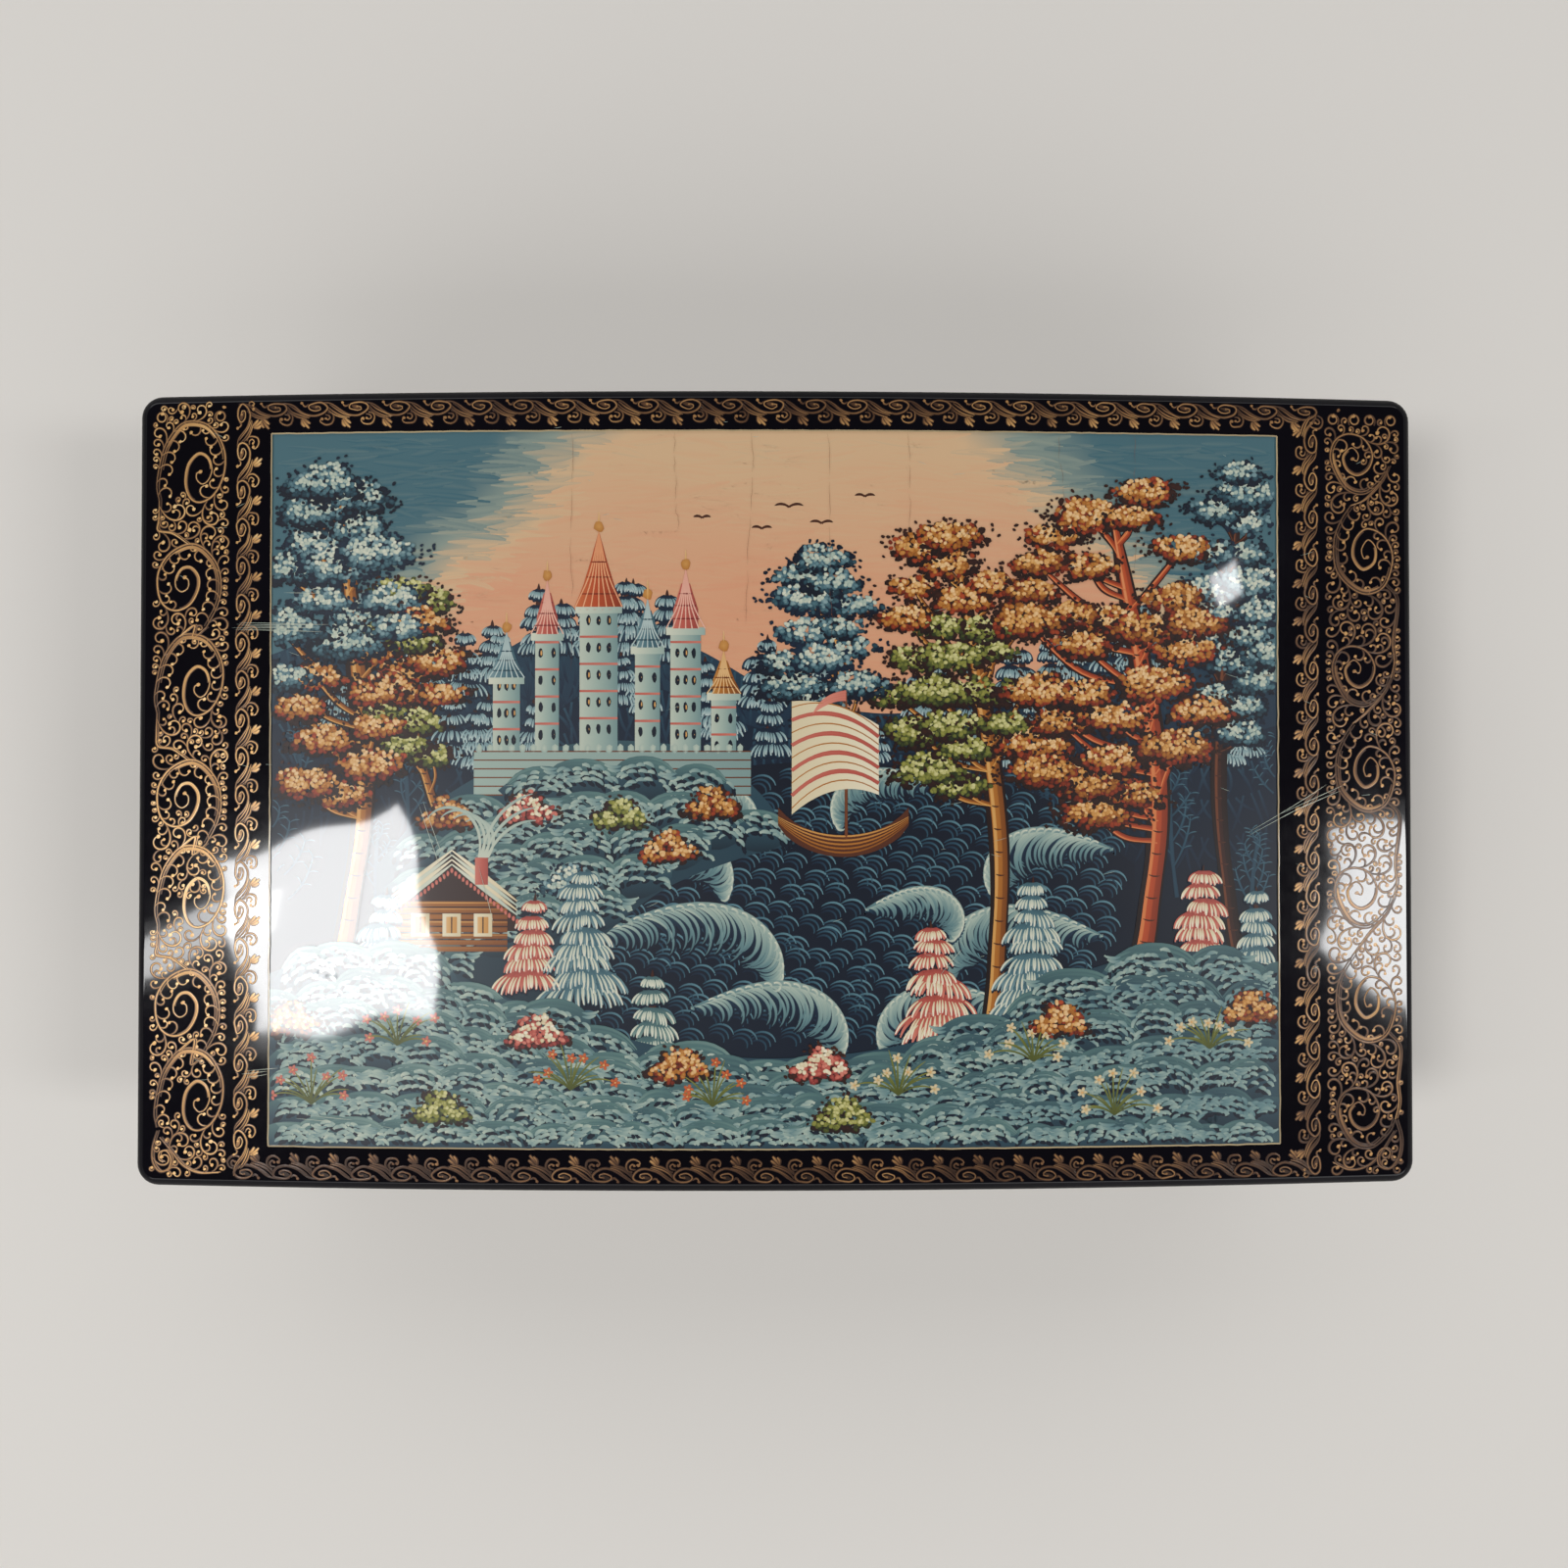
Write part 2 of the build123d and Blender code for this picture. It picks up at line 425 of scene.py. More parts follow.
@dataclass
class Brush:
    """Lays strokes, dabs and washes on a ground, small raised patches of paint that make up one mesh.

    Attributes:
        ground: Surface that takes the paint.
        rng: Source of all chance in the hand.
        level: Height of the next layer in microns.
        within: Left, lower, right and upper edge that no mark may cross, or None.
    """

    ground: Ground
    rng: Chance
    level: float = 9.0
    within: Four | None = None

    # Millimetres that strokes and dabs keep from the edges, and that a shadow adds to a gold line.
    STROKE_MARGIN = 0.3
    DAB_MARGIN = 0.7
    SHADOW_EXTRA = 0.28
    # Microns between layers, up to a gold line's crest, and down to its shadow.
    LAYER_STEP = 0.002
    GOLD_CREST = 13.0
    SHADOW_DROP = 5.0

    def __post_init__(self) -> None:
        """Start with an empty ground."""
        self._layers: list[tuple[Array, ...]] = []
        self._count = 0

    def at(self, level: float) -> "Brush":
        """Go to a height in microns."""
        self.level = level
        return self

    def _inside(self, points: Array, margin: float) -> Array:
        """Tell which marks keep a margin from the edges.

        Args:
            points: Points by mark, point and coordinate.
            margin: Distance in millimetres.

        Returns:
            True for each mark that may stay.
        """
        if self.within is None:
            return np.ones(len(points), bool)
        low, high = np.reshape(self.within, (2, 2))
        return ((points > low + margin) & (points < high - margin)).all(axis=(1, 2))

    def _add(self, flat: Array, height: Array | float, shade: Array, row: Array, faces: Array) -> None:
        """Keep one layer of marks, and rise a little for the next.

        Args:
            flat: Points in millimetres.
            height: Their heights in microns.
            shade: Their shades on the palette.
            row: Their places across the palette's rows.
            faces: Numbers of the points of each face.
        """
        height, shade, row = (np.broadcast_to(value, flat.shape[:-1]).ravel() for value in (height, shade, row))
        place = join(np.clip(shade, *PALETTE_ENDS), row)
        loops, sizes = (faces + self._count).ravel(), np.full(len(faces), faces.shape[1])
        self._layers.append((flat.reshape(-1, 2), height * MICRON, place, loops, sizes))
        self._count += height.size
        self.level += self.LAYER_STEP

    def strokes(self, paths: Array, widths: Array | float, pigment: Mix, shades: Pair | Array = (0.5, 0.6),
                taper: Pair = (0.3, 0.3), rise: float = 1.0, crest_highlight: float = 0.03) -> None:
        """Lay many strokes of the same number of points.

        Args:
            paths: Points of the strokes, by stroke, point and coordinate.
            widths: Full width of each stroke in millimetres.
            pigment: Mix of all the strokes.
            shades: Palette shade at the start and at the end, or one pair for each stroke.
            taper: Share of the full width at the start and at the end.
            rise: Height of the stroke's crest in microns.
            crest_highlight: How much lighter the crest is than the edges.
        """
        paths = np.asarray(paths, float)
        kept = self._inside(paths, self.STROKE_MARGIN)
        if not kept.any():
            return
        widths = np.broadcast_to(np.reshape(widths, (-1, 1)), (len(paths), 1))[kept]
        shades = np.broadcast_to(np.reshape(shades, (-1, 2)), (len(paths), 2))[kept]
        paths = paths[kept]
        many, steps = paths.shape[:2]
        along = np.gradient(paths, axis=1)
        length = np.maximum(np.linalg.norm(along, axis=2, keepdims=True), 1e-9)
        side = np.stack([-along[..., 1], along[..., 0]], axis=2) / length
        t = np.linspace(0.0, 1.0, steps)
        profile = np.maximum(np.sin(np.pi * t) ** 0.5, taper[0] * (1 - t) + taper[1] * t)
        across = (widths * profile / 2)[:, :, None] * (-1.0, 0.0, 1.0)
        flat = paths[:, :, None, :] + side[:, :, None, :] * across[..., None]
        height = self.level + self.rng.uniform(0, 1.2, (many, 1, 1)) + (0.0, rise, 0.0)
        # Painted highlight: across each stroke the middle is shaded lighter than the edges, as if light caught a
        # raised crest.
        shade = (shades[:, :1] * (1 - t) + shades[:, 1:] * t)[:, :, None] + crest_highlight * np.array([-1.0, 1.0, -0.4])
        row = pigment.row + np.array([-0.3, 0.0, 0.3]) / len(Mix)
        self._add(flat, height, shade, row, grid(many, steps, 3))

    def stroke(self, path: Array, width: float, pigment: Mix, shades: Pair = (0.5, 0.6),
               taper: Pair = (0.3, 0.3), rise: float = 1.0) -> None:
        """Lay one stroke along a path."""
        self.strokes(np.asarray(path)[None], width, pigment, shades, taper, rise)

    def gild(self, paths: Array, widths: Array | float, tone: float, taper: Pair = (0.4, 0.5)) -> None:
        """Lay raised lines of ground gold, each with a painted highlight along its crest, over its thin brown shadow.

        Args:
            paths: Points of one line, or of many lines of the same number of points.
            widths: Full width of each line in millimetres.
            tone: Place of the gold on its palette.
            taper: Share of the full width at the start and at the end.
        """
        paths = np.asarray(paths, float)
        paths = paths[None] if paths.ndim == 2 else paths
        drift = 0.07 * np.sin(paths[:, :1, 1] / 15 + paths[:, :1, 0] / 33)
        tones = tone + drift + self.rng.uniform(-0.1, 0.08, (len(paths), 1)) + (-0.24, 0.15)
        level = self.level
        wider = widths + self.SHADOW_EXTRA
        self.at(level - self.SHADOW_DROP).strokes(paths, wider, Mix.GOLD, (0.06, 0.12), (0.7, 0.7))
        # Painted highlight: the gold line's crest is shaded lighter than its edges.
        self.at(level).strokes(paths, widths, Mix.GOLD, tones, taper, self.GOLD_CREST, 0.15)

    def dabs(self, spots: Array, length: Array | float, width: Array | float, angle: Array | float,
             pigment: Mix, shade: Array | float, rise: float = 1.0, sides: int = 7) -> None:
        """Press many small touches of the brush.

        Args:
            spots: Middles of the dabs.
            length: Full lengths in millimetres.
            width: Full widths in millimetres.
            angle: Directions in radians.
            pigment: Mix of all the dabs.
            shade: Palette shades.
            rise: Height of a dab's crest in microns.
            sides: Corners of a dab's outline.
        """
        spots = np.asarray(spots, float).reshape(-1, 2)
        kept = self._inside(spots[:, None], self.DAB_MARGIN)
        length, width, angle, shade = (
            np.broadcast_to(value, len(spots))[kept, None] for value in (length, width, angle, shade)
        )
        spots, many = spots[kept], int(kept.sum())
        if not many:
            return
        turn = np.linspace(0, 2 * np.pi, sides, endpoint=False)
        radius = 1 + self.rng.uniform(-0.14, 0.14, (many, sides))
        px = np.cos(turn) * radius * length / 2
        py = np.sin(turn) * radius * width / 2
        ca, sa = np.cos(angle), np.sin(angle)
        rim = np.stack([px * ca - py * sa, px * sa + py * ca], axis=2) + spots[:, None, :]
        flat = np.concatenate([spots[:, None, :], rim], axis=1)
        height = self.level + self.rng.uniform(0, 1.5, (many, 1)) + np.append(rise, np.zeros(sides))
        # Painted shade: each dab's middle is lighter than its rim, and one end of its rim lighter than the other, so
        # that it looks rounded.
        tones = shade + np.append(0.04, 0.04 * np.cos(turn) - 0.1)
        row = pigment.row + np.append(0.0, 0.3 * np.sin(turn)) / len(Mix)
        ring = np.arange(sides)
        fan = np.column_stack([0 * ring, 1 + ring, 1 + (ring + 1) % sides])
        faces = ((np.arange(many) * (sides + 1))[:, None, None] + fan).reshape(-1, 3)
        self._add(flat, height, tones, row, faces)

    def wash(self, columns: Array, low: Array | float, high: Array | float, pigment: Mix, shade: Shade,
             rows: int = 2) -> None:
        """Fill the space between two lines that run along x.

        Args:
            columns: Rising x values.
            low: Lower line, at each column or for all.
            high: Upper line, at each column or for all.
            pigment: Mix of the wash.
            shade: Function of x and y arrays that gives palette shades.
            rows: Strips from the lower line to the upper one.
        """
        t = np.linspace(0, 1, rows + 1)
        x, low, high = (column[:, None] for column in np.broadcast_arrays(columns, low, high))
        y = low * (1 - t) + high * t
        x = np.broadcast_to(x, y.shape)
        weave = 0.25 * np.sin(x * 1.7 + y * 0.9) / len(Mix)
        self._add(np.stack([x, y], axis=2), self.level, shade(x, y), pigment.row + weave, grid(*x.shape))

    def build(self, name: str, material: Material, body: str = "lid", sleek: bool = False) -> None:
        """Make one piece of all the marks so far, and start afresh.

        Args:
            name: Name of the piece.
            material: Its material.
            body: Body that it rides on.
            sleek: Whether the lacquer over it hides its relief.
        """
        flat, height, places, loops, sizes = (np.concatenate(parts) for parts in zip(*self._layers))
        mesh = bpy.data.meshes.new(name)
        for elements, key, values in (
            (mesh.vertices, "co", self.ground.place(flat, height).astype(np.float32)),
            (mesh.loops, "vertex_index", loops.astype(np.int32)),
            (mesh.polygons, "loop_start", (np.cumsum(sizes) - sizes).astype(np.int32)),
        ):
            elements.add(len(values))
            elements.foreach_set(key, values.ravel())
        mesh.update(calc_edges=True)
        mesh.shade_smooth()
        layer = mesh.uv_layers.new(name=PALETTE_MAP)
        layer.data.foreach_set("uv", places[loops].astype(np.float32).ravel())
        if sleek:
            mesh.normals_split_custom_set_from_vertices(self.ground.normals(flat))
        add_piece(name, mesh, [material], body)
        self.__post_init__()


# Lines


def join(x: Array | float, y: Array | float) -> Array:
    """Points from their x and y values, either of which may be one value for all."""
    return np.column_stack(np.broadcast_arrays(x, y))


def smooth(points: Sequence[Sequence[float]], step: float = 0.3) -> Array:
    """Draw an even line through points.

    Args:
        points: Points in millimetres.
        step: Distance between points of the line.

    Returns:
        Points of the line.
    """
    p = np.asarray(points, float)
    p = np.vstack([2 * p[0] - p[1], p, 2 * p[-1] - p[-2]])
    parts = []
    for a, b, c, d in zip(p, p[1:], p[2:], p[3:]):
        count = max(int(np.linalg.norm(c - b) / step), 1)
        t = np.arange(count)[:, None] / count
        cubic = (2 * a - 5 * b + 4 * c - d) * t**2 + (3 * b - a - 3 * c + d) * t**3
        parts.append((2 * b + (c - a) * t + cubic) / 2)
    return np.vstack([*parts, p[-2:-1]])


def even(path: Array, count: int) -> Array:
    """Share a path out anew.

    Args:
        path: Points of the path.
        count: Number of points wanted.

    Returns:
        So many points on it, equally far apart.
    """
    gaps = np.concatenate([[0], np.cumsum(np.linalg.norm(np.diff(path, axis=0), axis=1))])
    at = np.linspace(0, gaps[-1], count)
    return join(np.interp(at, gaps, path[:, 0]), np.interp(at, gaps, path[:, 1]))


def scrolls(start: Array, heading: Array, length: Array, bend: Array, grip: float = 2.0, steps: int = 16) -> Array:
    """Paths that bend more and more towards their ends.

    Args:
        start: First points, one row each.
        heading: First directions in radians.
        length: Lengths in millimetres.
        bend: Whole turn of each path in radians, positive to the left.
        grip: How late the bend comes.
        steps: Points of each path.

    Returns:
        Points by path, point and coordinate.
    """
    start = np.asarray(start, float).reshape(-1, 2)
    t = np.linspace(0, 1, steps)
    angle = np.reshape(heading, (-1, 1)) + np.reshape(bend, (-1, 1)) * t**grip
    angle = np.broadcast_to(angle, (len(start), steps))
    pace = np.reshape(length, (-1, 1, 1)) / (steps - 1)
    ways = np.stack([np.cos(angle), np.sin(angle)], 2) * pace
    walked = np.cumsum((ways[:, 1:] + ways[:, :-1]) / 2, axis=1)
    return start[:, None] + np.concatenate([np.zeros((len(start), 1, 2)), walked], axis=1)


def turned(points: Array, quarter: int, place: Sequence[float]) -> Array:
    """Turn points about the origin, then move them.

    Args:
        points: Points in millimetres.
        quarter: Quarter turns to the left.
        place: Where the origin goes.

    Returns:
        The moved points.
    """
    p = np.asarray(points, float)
    for _ in range(quarter % 4):
        p = join(-p[:, 1], p[:, 0])
    return p + place


class Room:
    """Keeps what is drawn in a rectangle, so that lines don't run into each other."""

    def __init__(self, low: Sequence[float], high: Sequence[float], cell: float = 0.2) -> None:
        """Start with an empty rectangle.

        Args:
            low: Its lower left corner in millimetres.
            high: Its upper right corner.
            cell: Fineness of the record.
        """
        self.low = np.array(low, float)
        self.cell = cell
        self.taken = np.zeros(np.ceil((np.array(high) - self.low) / cell).astype(int), bool)

    def mark(self, path: Array, spread: int = 1) -> None:
        """Take the cells along a path.

        Args:
            path: Points of the path.
            spread: How many cells beside it are taken too.
        """
        cells = np.floor((path - self.low) / self.cell).astype(int)
        for dx in range(-spread, spread + 1):
            for dy in range(-spread, spread + 1):
                c = cells + (dx, dy)
                c = c[((c >= 0) & (c < self.taken.shape)).all(axis=1)]
                self.taken[c[:, 0], c[:, 1]] = True

    def free(self, path: Array) -> bool:
        """Whether a path lies inside and on free cells only."""
        c = np.floor((path - self.low) / self.cell).astype(int)
        return bool(((c >= 0) & (c < self.taken.shape)).all()) and not self.taken[c[:, 0], c[:, 1]].any()


# Gold ornament


class Turn(Enum):
    """The way that a volute winds in from its stem, with its line about the eye."""

    HIGH_LEFT = (
        (-8.3, -4.4), (-8.8, -1.3), (-7.9, 3.9), (-6.7, 6.9), (-4.4, 9.7), (-2.0, 10.4), (0.9, 9.7), (3.0, 7.5),
        (4.3, 4.1), (4.0, 0.0), (2.2, -3.4), (-0.3, -4.8), (-2.3, -4.0), (-3.3, -1.3), (-2.8, 2.3), (-0.8, 4.4),
        (1.1, 3.6), (1.8, 1.3), (1.1, -0.7), (-0.1, -1.4), (-1.1, -0.5), (-1.1, 0.6), (-0.4, 0.9),
    )
    LOW_RIGHT = (
        (4.4, -8.6), (6.5, -4.6), (7.2, -0.8), (6.4, 3.1), (3.8, 6.2), (0.8, 7.0), (-2.8, 5.2), (-4.9, 1.8),
        (-4.9, -2.1), (-3.6, -4.6), (-1.3, -5.4), (1.2, -4.3), (2.8, -1.6), (2.9, 0.9), (1.4, 2.7), (-0.4, 2.5),
        (-1.5, 0.8), (-1.5, -1.0), (-0.4, -1.9), (0.8, -1.2), (0.9, 0.2), (0.2, 0.8),
    )
    UNDER_LEFT = (
        (6.2, -1.6), (5.0, -4.1), (1.5, -6.9), (-2.4, -5.9), (-5.1, -1.0), (-4.5, 2.7), (-1.9, 4.3), (1.3, 3.5),
        (3.0, 0.6), (2.2, -2.2), (0.0, -3.5), (-2.1, -2.4), (-2.8, 0.0), (-1.1, 1.7), (0.2, 0.6), (0.0, -0.7),
        (-0.9, -0.4),
    )
    UNDER_RIGHT = (
        (-3.0, 9.4), (-5.0, 6.4), (-6.3, 2.6), (-5.9, -2.7), (-2.8, -6.2), (0.5, -7.2), (3.7, -5.4), (5.2, -0.3),
        (3.6, 3.6), (0.2, 5.1), (-2.2, 3.0), (-2.7, -0.3), (-0.8, -2.7), (1.6, -1.4), (1.9, 1.4), (0.4, 3.0),
        (-0.9, 1.2), (-0.5, -0.5), (0.2, -0.3),
    )

    @property
    def line(self) -> Array:
        """The volute's line about its eye in millimetres."""
        return smooth(self.value)


@dataclass
class EndBand:
    """A broad upright band of volutes, combs and sprays of hooks at one end of the lid.

    Attributes:
        name: Name of the piece.
        edges: Left and right edge in millimetres.
        eyes: Middles of the volutes from the top down.
        turns: Two kinds of volute that take turns.
        links: Points of the stems that join a volute to the next, about the two eyes in turn.
        tails: Points of the stems that fill the ends of the band.
        ends: Lower and upper end.
        weight: Width of the main line.
        tone: Place of the gold on its palette.
    """

    name: str
    edges: Pair
    eyes: Sequence[Pair]
    turns: tuple[Turn, Turn]
    links: tuple[Stem, Stem]
    tails: Sequence[Sequence[Pair]] = ()
    ends: Pair = (-71.9, 72.2)
    weight: float = 0.3
    tone: float = 0.62

    # Lengths of curls to try, growth after growth, and of the teeth inside a volute.
    GROWTHS = ((10.0, 8.8, 7.6), (6.6, 5.6, 4.8), (4.2, 3.5), (2.9, 2.4))
    TEETH = (4.6, 4.0, 3.4, 2.9, 2.4, 2.0)
    KNOB_TRIES = 500
    VOLUTE_REACH = 7.0

    def paint(self, brush: Brush) -> None:
        """Draw the band.

        Args:
            brush: Brush loaded on the lid's top.
        """
        self.room = Room((self.edges[0], self.ends[0]), (self.edges[1], self.ends[1]))
        self.brush = brush
        volutes = [self.turns[i % 2].line + eye for i, eye in enumerate(self.eyes)]
        stems = [smooth(line) for line in self.tails]
        for i, pair in enumerate(zip(self.eyes, self.eyes[1:])):
            stems.append(smooth([(pair[which][0] + x, pair[which][1] + y) for which, x, y in self.links[i % 2]]))
        for path in volutes + stems:
            self.room.mark(path)
        for path in stems:
            brush.gild(path, self.weight, self.tone)
            brush.gild(path + (0.42, 0.1), self.weight * 0.6, self.tone - 0.12)
        outsides = [self._volute(path) for path in volutes]
        self._crest()
        paths = outsides + [(path, side) for path in stems for side in (1, -1)]
        for sizes in self.GROWTHS:
            fresh = []
            for path, side in paths:
                fresh += [(curl, way) for curl in self._grow(path, side, sizes) for way in (side, -side)]
            paths += fresh
        self._knobs()

    def _volute(self, path: Array) -> tuple[Array, float]:
        """Draw a volute with its doubled outer line, its gilt crescent and the comb inside it.

        Args:
            path: The volute's line from its foot to its eye.

        Returns:
            The part of the line that sprays may grow from, and its outer side.
        """
        brush = self.brush
        brush.gild(path, self.weight, self.tone)
        brush.dabs(path[-1], 0.85, 0.7, 0.5, Mix.GOLD, self.tone + 0.1, rise=15.0)
        side = -1.0 if np.cross(path[10] - path[0], path[20] - path[10]) < 0 else 1.0
        along = np.gradient(path, axis=0)
        inward = join(-along[:, 1], along[:, 0]) * side / np.linalg.norm(along, axis=1)[:, None]
        outer = len(path) // 2
        for offset, low, high in ((0.46, 0.0, 0.95), (0.86, 0.2, 0.8)):
            line = (path + inward * offset)[int(outer * low) : int(outer * high)]
            brush.gild(line, self.weight * 0.55, self.tone - 0.08, (0.2, 0.2))
        swell = (path + inward * 0.6)[int(outer * 0.35) : int(outer * 0.8)]
        brush.gild(swell, 0.62, self.tone - 0.06, (0.1, 0.1))
        last = (path + inward * 0.22)[len(path) * 13 // 20 : len(path) * 9 // 10]
        brush.gild(last, 0.44, self.tone - 0.04, (0.1, 0.1))
        self._comb(path[: len(path) * 13 // 20], side, 2.5, self.TEETH)
        return path[: len(path) * 5 // 8], -side

    def _comb(self, path: Array, side: float, pitch: float, sizes: Sequence[float]) -> None:
        """Set hooks that end in balls along the inner side of a bent line.

        Args:
            path: The line.
            side: 1 where it bends to the left, -1 to the right.
            pitch: Distance between hooks.
            sizes: Lengths to try, the longest first.
        """
        step = np.linalg.norm(path[1] - path[0])
        for i in range(3, len(path) - 3, max(int(pitch / step), 2)):
            way = path[i + 2] - path[i - 2]
            heading = math.atan2(way[1], way[0]) + side * 0.5
            for length in sizes:
                hook = scrolls(path[i], heading, length, side * 3.7, 1.5, 20)[0]
                if self.room.free(hook[6:]):
                    self._curl(hook, 0.21)
                    break

    def _curl(self, path: Array, width: float) -> None:
        """Draw a curl that ends in a ball, and take its room.

        Args:
            path: Points of the curl.
            width: Width of its line.
        """
        tone = self.tone + self.brush.rng.uniform(-0.12, 0.06)
        self.brush.gild(path, width, tone, (0.3, 0.7))
        length = float(np.linalg.norm(np.diff(path, axis=0), axis=1).sum())
        ball = min(0.48 + 0.05 * length, 0.86)
        self.brush.dabs(path[-1], ball, ball * 0.85, 0.6, Mix.GOLD, tone + 0.24, rise=16.0)
        self.room.mark(path[2:])
        self.room.mark(path[-1:], 2)

    def _grow(self, path: Array, side: float, sizes: Sequence[float]) -> list[Array]:
        """Let curls grow from one side of a path wherever there is room.

        Args:
            path: The stem.
            side: 1 for its left side, -1 for its right.
            sizes: Lengths to try, the longest first.

        Returns:
            The curls that found room.
        """
        rng = self.brush.rng
        grown = []
        step = np.linalg.norm(path[1] - path[0])
        for i in range(3, len(path) - 3, max(int(sizes[-1] / step / 3.6), 1)):
            way = path[i + 2] - path[i - 2]
            heading = math.atan2(way[1], way[0]) + side * rng.uniform(0.25, 0.55)
            for length in sizes:
                curl = scrolls(path[i], heading, length, side * rng.uniform(4.9, 5.9), 1.9, 30)[0]
                if self.room.free(curl[9:]):
                    self._curl(curl, 0.16 + 0.013 * length)
                    if length > 6:
                        self._comb(curl[:20], side, 1.9, (0.34 * length, 0.26 * length))
                    grown.append(curl)
                    break
        return grown

    def _crest(self) -> None:
        """Set a row of spirals along the upper end."""
        x0, x1 = self.edges
        for number, x in enumerate(np.linspace(x0 + 1.9, x1 - 1.9, 4)):
            way = 1.0 if number % 2 else -1.0
            spiral = scrolls((x - way * 0.6, self.ends[1] - 3.6), 1.57 + way * 0.5, 7.6, -way * 8.2, 1.25, 34)[0]
            if self.room.free(spiral[8:]):
                self._curl(spiral, 0.24)

    def _knobs(self) -> None:
        """Put knobs where the curls leave a little room, most of them along the outer edges."""
        rng = self.brush.rng
        spots = []
        for _ in range(self.KNOB_TRIES):
            spot = np.array([rng.uniform(*self.edges), rng.uniform(*self.ends)])
            ring = spot + 0.6 * np.array([[1, 0], [-1, 0], [0, 1], [0, -1], [0, 0]])
            inner = min(np.hypot(*(spot - eye)) for eye in self.eyes)
            if inner > self.VOLUTE_REACH and self.room.free(ring):
                self.room.mark(ring, 3)
                spots.append(spot)
        self.brush.dabs(np.array(spots), 0.8, 0.62, rng.uniform(0, 3, len(spots)), Mix.GOLD, self.tone, rise=13.0)


@dataclass
class VineFrame:
    """A narrow running vine round the painted field, with the field on its right hand.

    Attributes:
        name: Name of the piece.
        box: Left, lower, right and upper line of the vine's loops in millimetres.
        counts: Number of loops up the left, along the top, down the right and along the bottom.
        tones: Place of the gold on its palette on those sides, lightest on the left and darkest along the bottom as
            painted light and shade.
        weight: Width of the stem.
    """

    name: str = "vine_frame"
    box: Four = (-99.9, -71.0, 100.3, 71.0)
    counts: tuple[int, int, int, int] = (20, 26, 20, 27)
    tones: Four = (0.58, 0.41, 0.42, 0.24)
    weight: float = 0.25

    STEM = (
        (-6.4, 0.75), (-5.1, 0.72), (-4.0, 0.3), (-2.6, -0.8), (-1.3, -1.4), (0.1, -1.6), (1.4, -1.1), (2.1, -0.2),
        (1.7, 0.5), (0.8, 0.8), (-0.4, 0.75), (-1.2, 0.35), (-1.25, -0.2), (-0.6, -0.65), (0.2, -0.75), (0.9, -0.45),
        (0.85, -0.05), (0.3, 0.1),
    )
    RIBS = (
        ((-4.8, 0.5), (-3.6, -0.45), (-2.4, -1.2), (-0.9, -1.75)),
        ((-5.1, 0.1), (-4.1, -0.85), (-2.8, -1.55), (-1.2, -1.98)),
        ((-5.1, -0.4), (-4.3, -1.2), (-3.1, -1.85), (-1.6, -2.2)),
    )
    HOOK = ((-1.3, 0.5), (-1.75, 0.15), (-2.2, 0.3), (-2.45, 0.75))
    CURL = (
        (2.2, -0.9), (3.0, -1.3), (3.25, -2.1), (2.9, -2.95), (2.1, -3.25), (1.25, -3.05), (0.85, -2.5), (1.2, -2.0),
    )
    INNER = ((1.7, -1.4), (2.4, -1.5), (2.65, -2.0), (2.2, -2.4), (1.8, -2.1))
    BUD = (
        ((-2.5, -2.3), (-2.4, -3.1), (-1.9, -3.7)),
        ((-2.4, -2.2), (-1.9, -3.0), (-1.1, -3.9)),
        ((-2.2, -2.1), (-1.6, -2.6), (-0.9, -3.1)),
    )

    def paint(self, brush: Brush) -> None:
        """Draw the vine on all four sides.

        Args:
            brush: Brush loaded on the lid's top.
        """
        x0, y0, x1, y1 = self.box
        for side, corner in enumerate(((x0, y0), (x0, y1), (x1, y1), (x1, y0))):
            quarter = 1 - side
            pitch = (x1 - x0 if side % 2 else y1 - y0) / self.counts[side]
            way = turned([(1.0, 0.0)], quarter, (0, 0))[0]
            for i in range(self.counts[side]):
                place = np.array(corner) + way * pitch * (i + 0.82)
                self._unit(brush, quarter, place, pitch / 7.3, self.tones[side])

    def _unit(self, brush: Brush, quarter: int, place: Array, stretch: float, tone: float) -> None:
        """Draw one loop of the vine with its ribs, hook, curl and bud.

        Args:
            brush: Brush in use.
            quarter: Quarter turns to the left from a vine that runs to the right.
            place: Middle of the loop.
            stretch: Length of this unit against the drawn one.
            tone: Place of the gold on its palette.
        """
        rng = brush.rng
        tone = tone + rng.uniform(-0.1, 0.1)

        def put(points: Sequence[Pair]) -> Array:
            """Place points of the drawn unit, with a little of the hand in them."""
            p = np.array(points) * (stretch, 1.0) + rng.normal(0, 0.045, (len(points), 2))
            return smooth(turned(p, quarter, place), 0.22)

        core = turned([(-0.1 * stretch, 0.0)], quarter, place)
        tilt = math.radians(90 * quarter - 14)
        brush.dabs(core, 1.9, 0.75, tilt, Mix.GOLD, tone - 0.22, rise=8.0, sides=10)
        brush.gild(put(self.STEM), self.weight, tone)
        for index, rib in enumerate(self.RIBS):
            brush.gild(put(rib), self.weight * 0.76, tone - 0.02 * index, (0.2, 0.2))
        for line, width in ((self.HOOK, 0.2), (self.CURL, 0.22), (self.INNER, 0.18)):
            brush.gild(put(line), width, tone)
        for x, y, size in ((-2.5, 0.8, 0.62), (1.15, -2.2, 0.72), (1.85, -2.15, 0.55), (0.1, 0.02, 0.6)):
            spot = turned([(x * stretch, y)], quarter, place)
            brush.dabs(spot, size, size * 0.85, tilt, Mix.GOLD, tone + 0.1, rise=15.0)
        for petal in self.BUD:
            brush.gild(put(petal), 0.5, tone + 0.06, (0.3, 0.05))


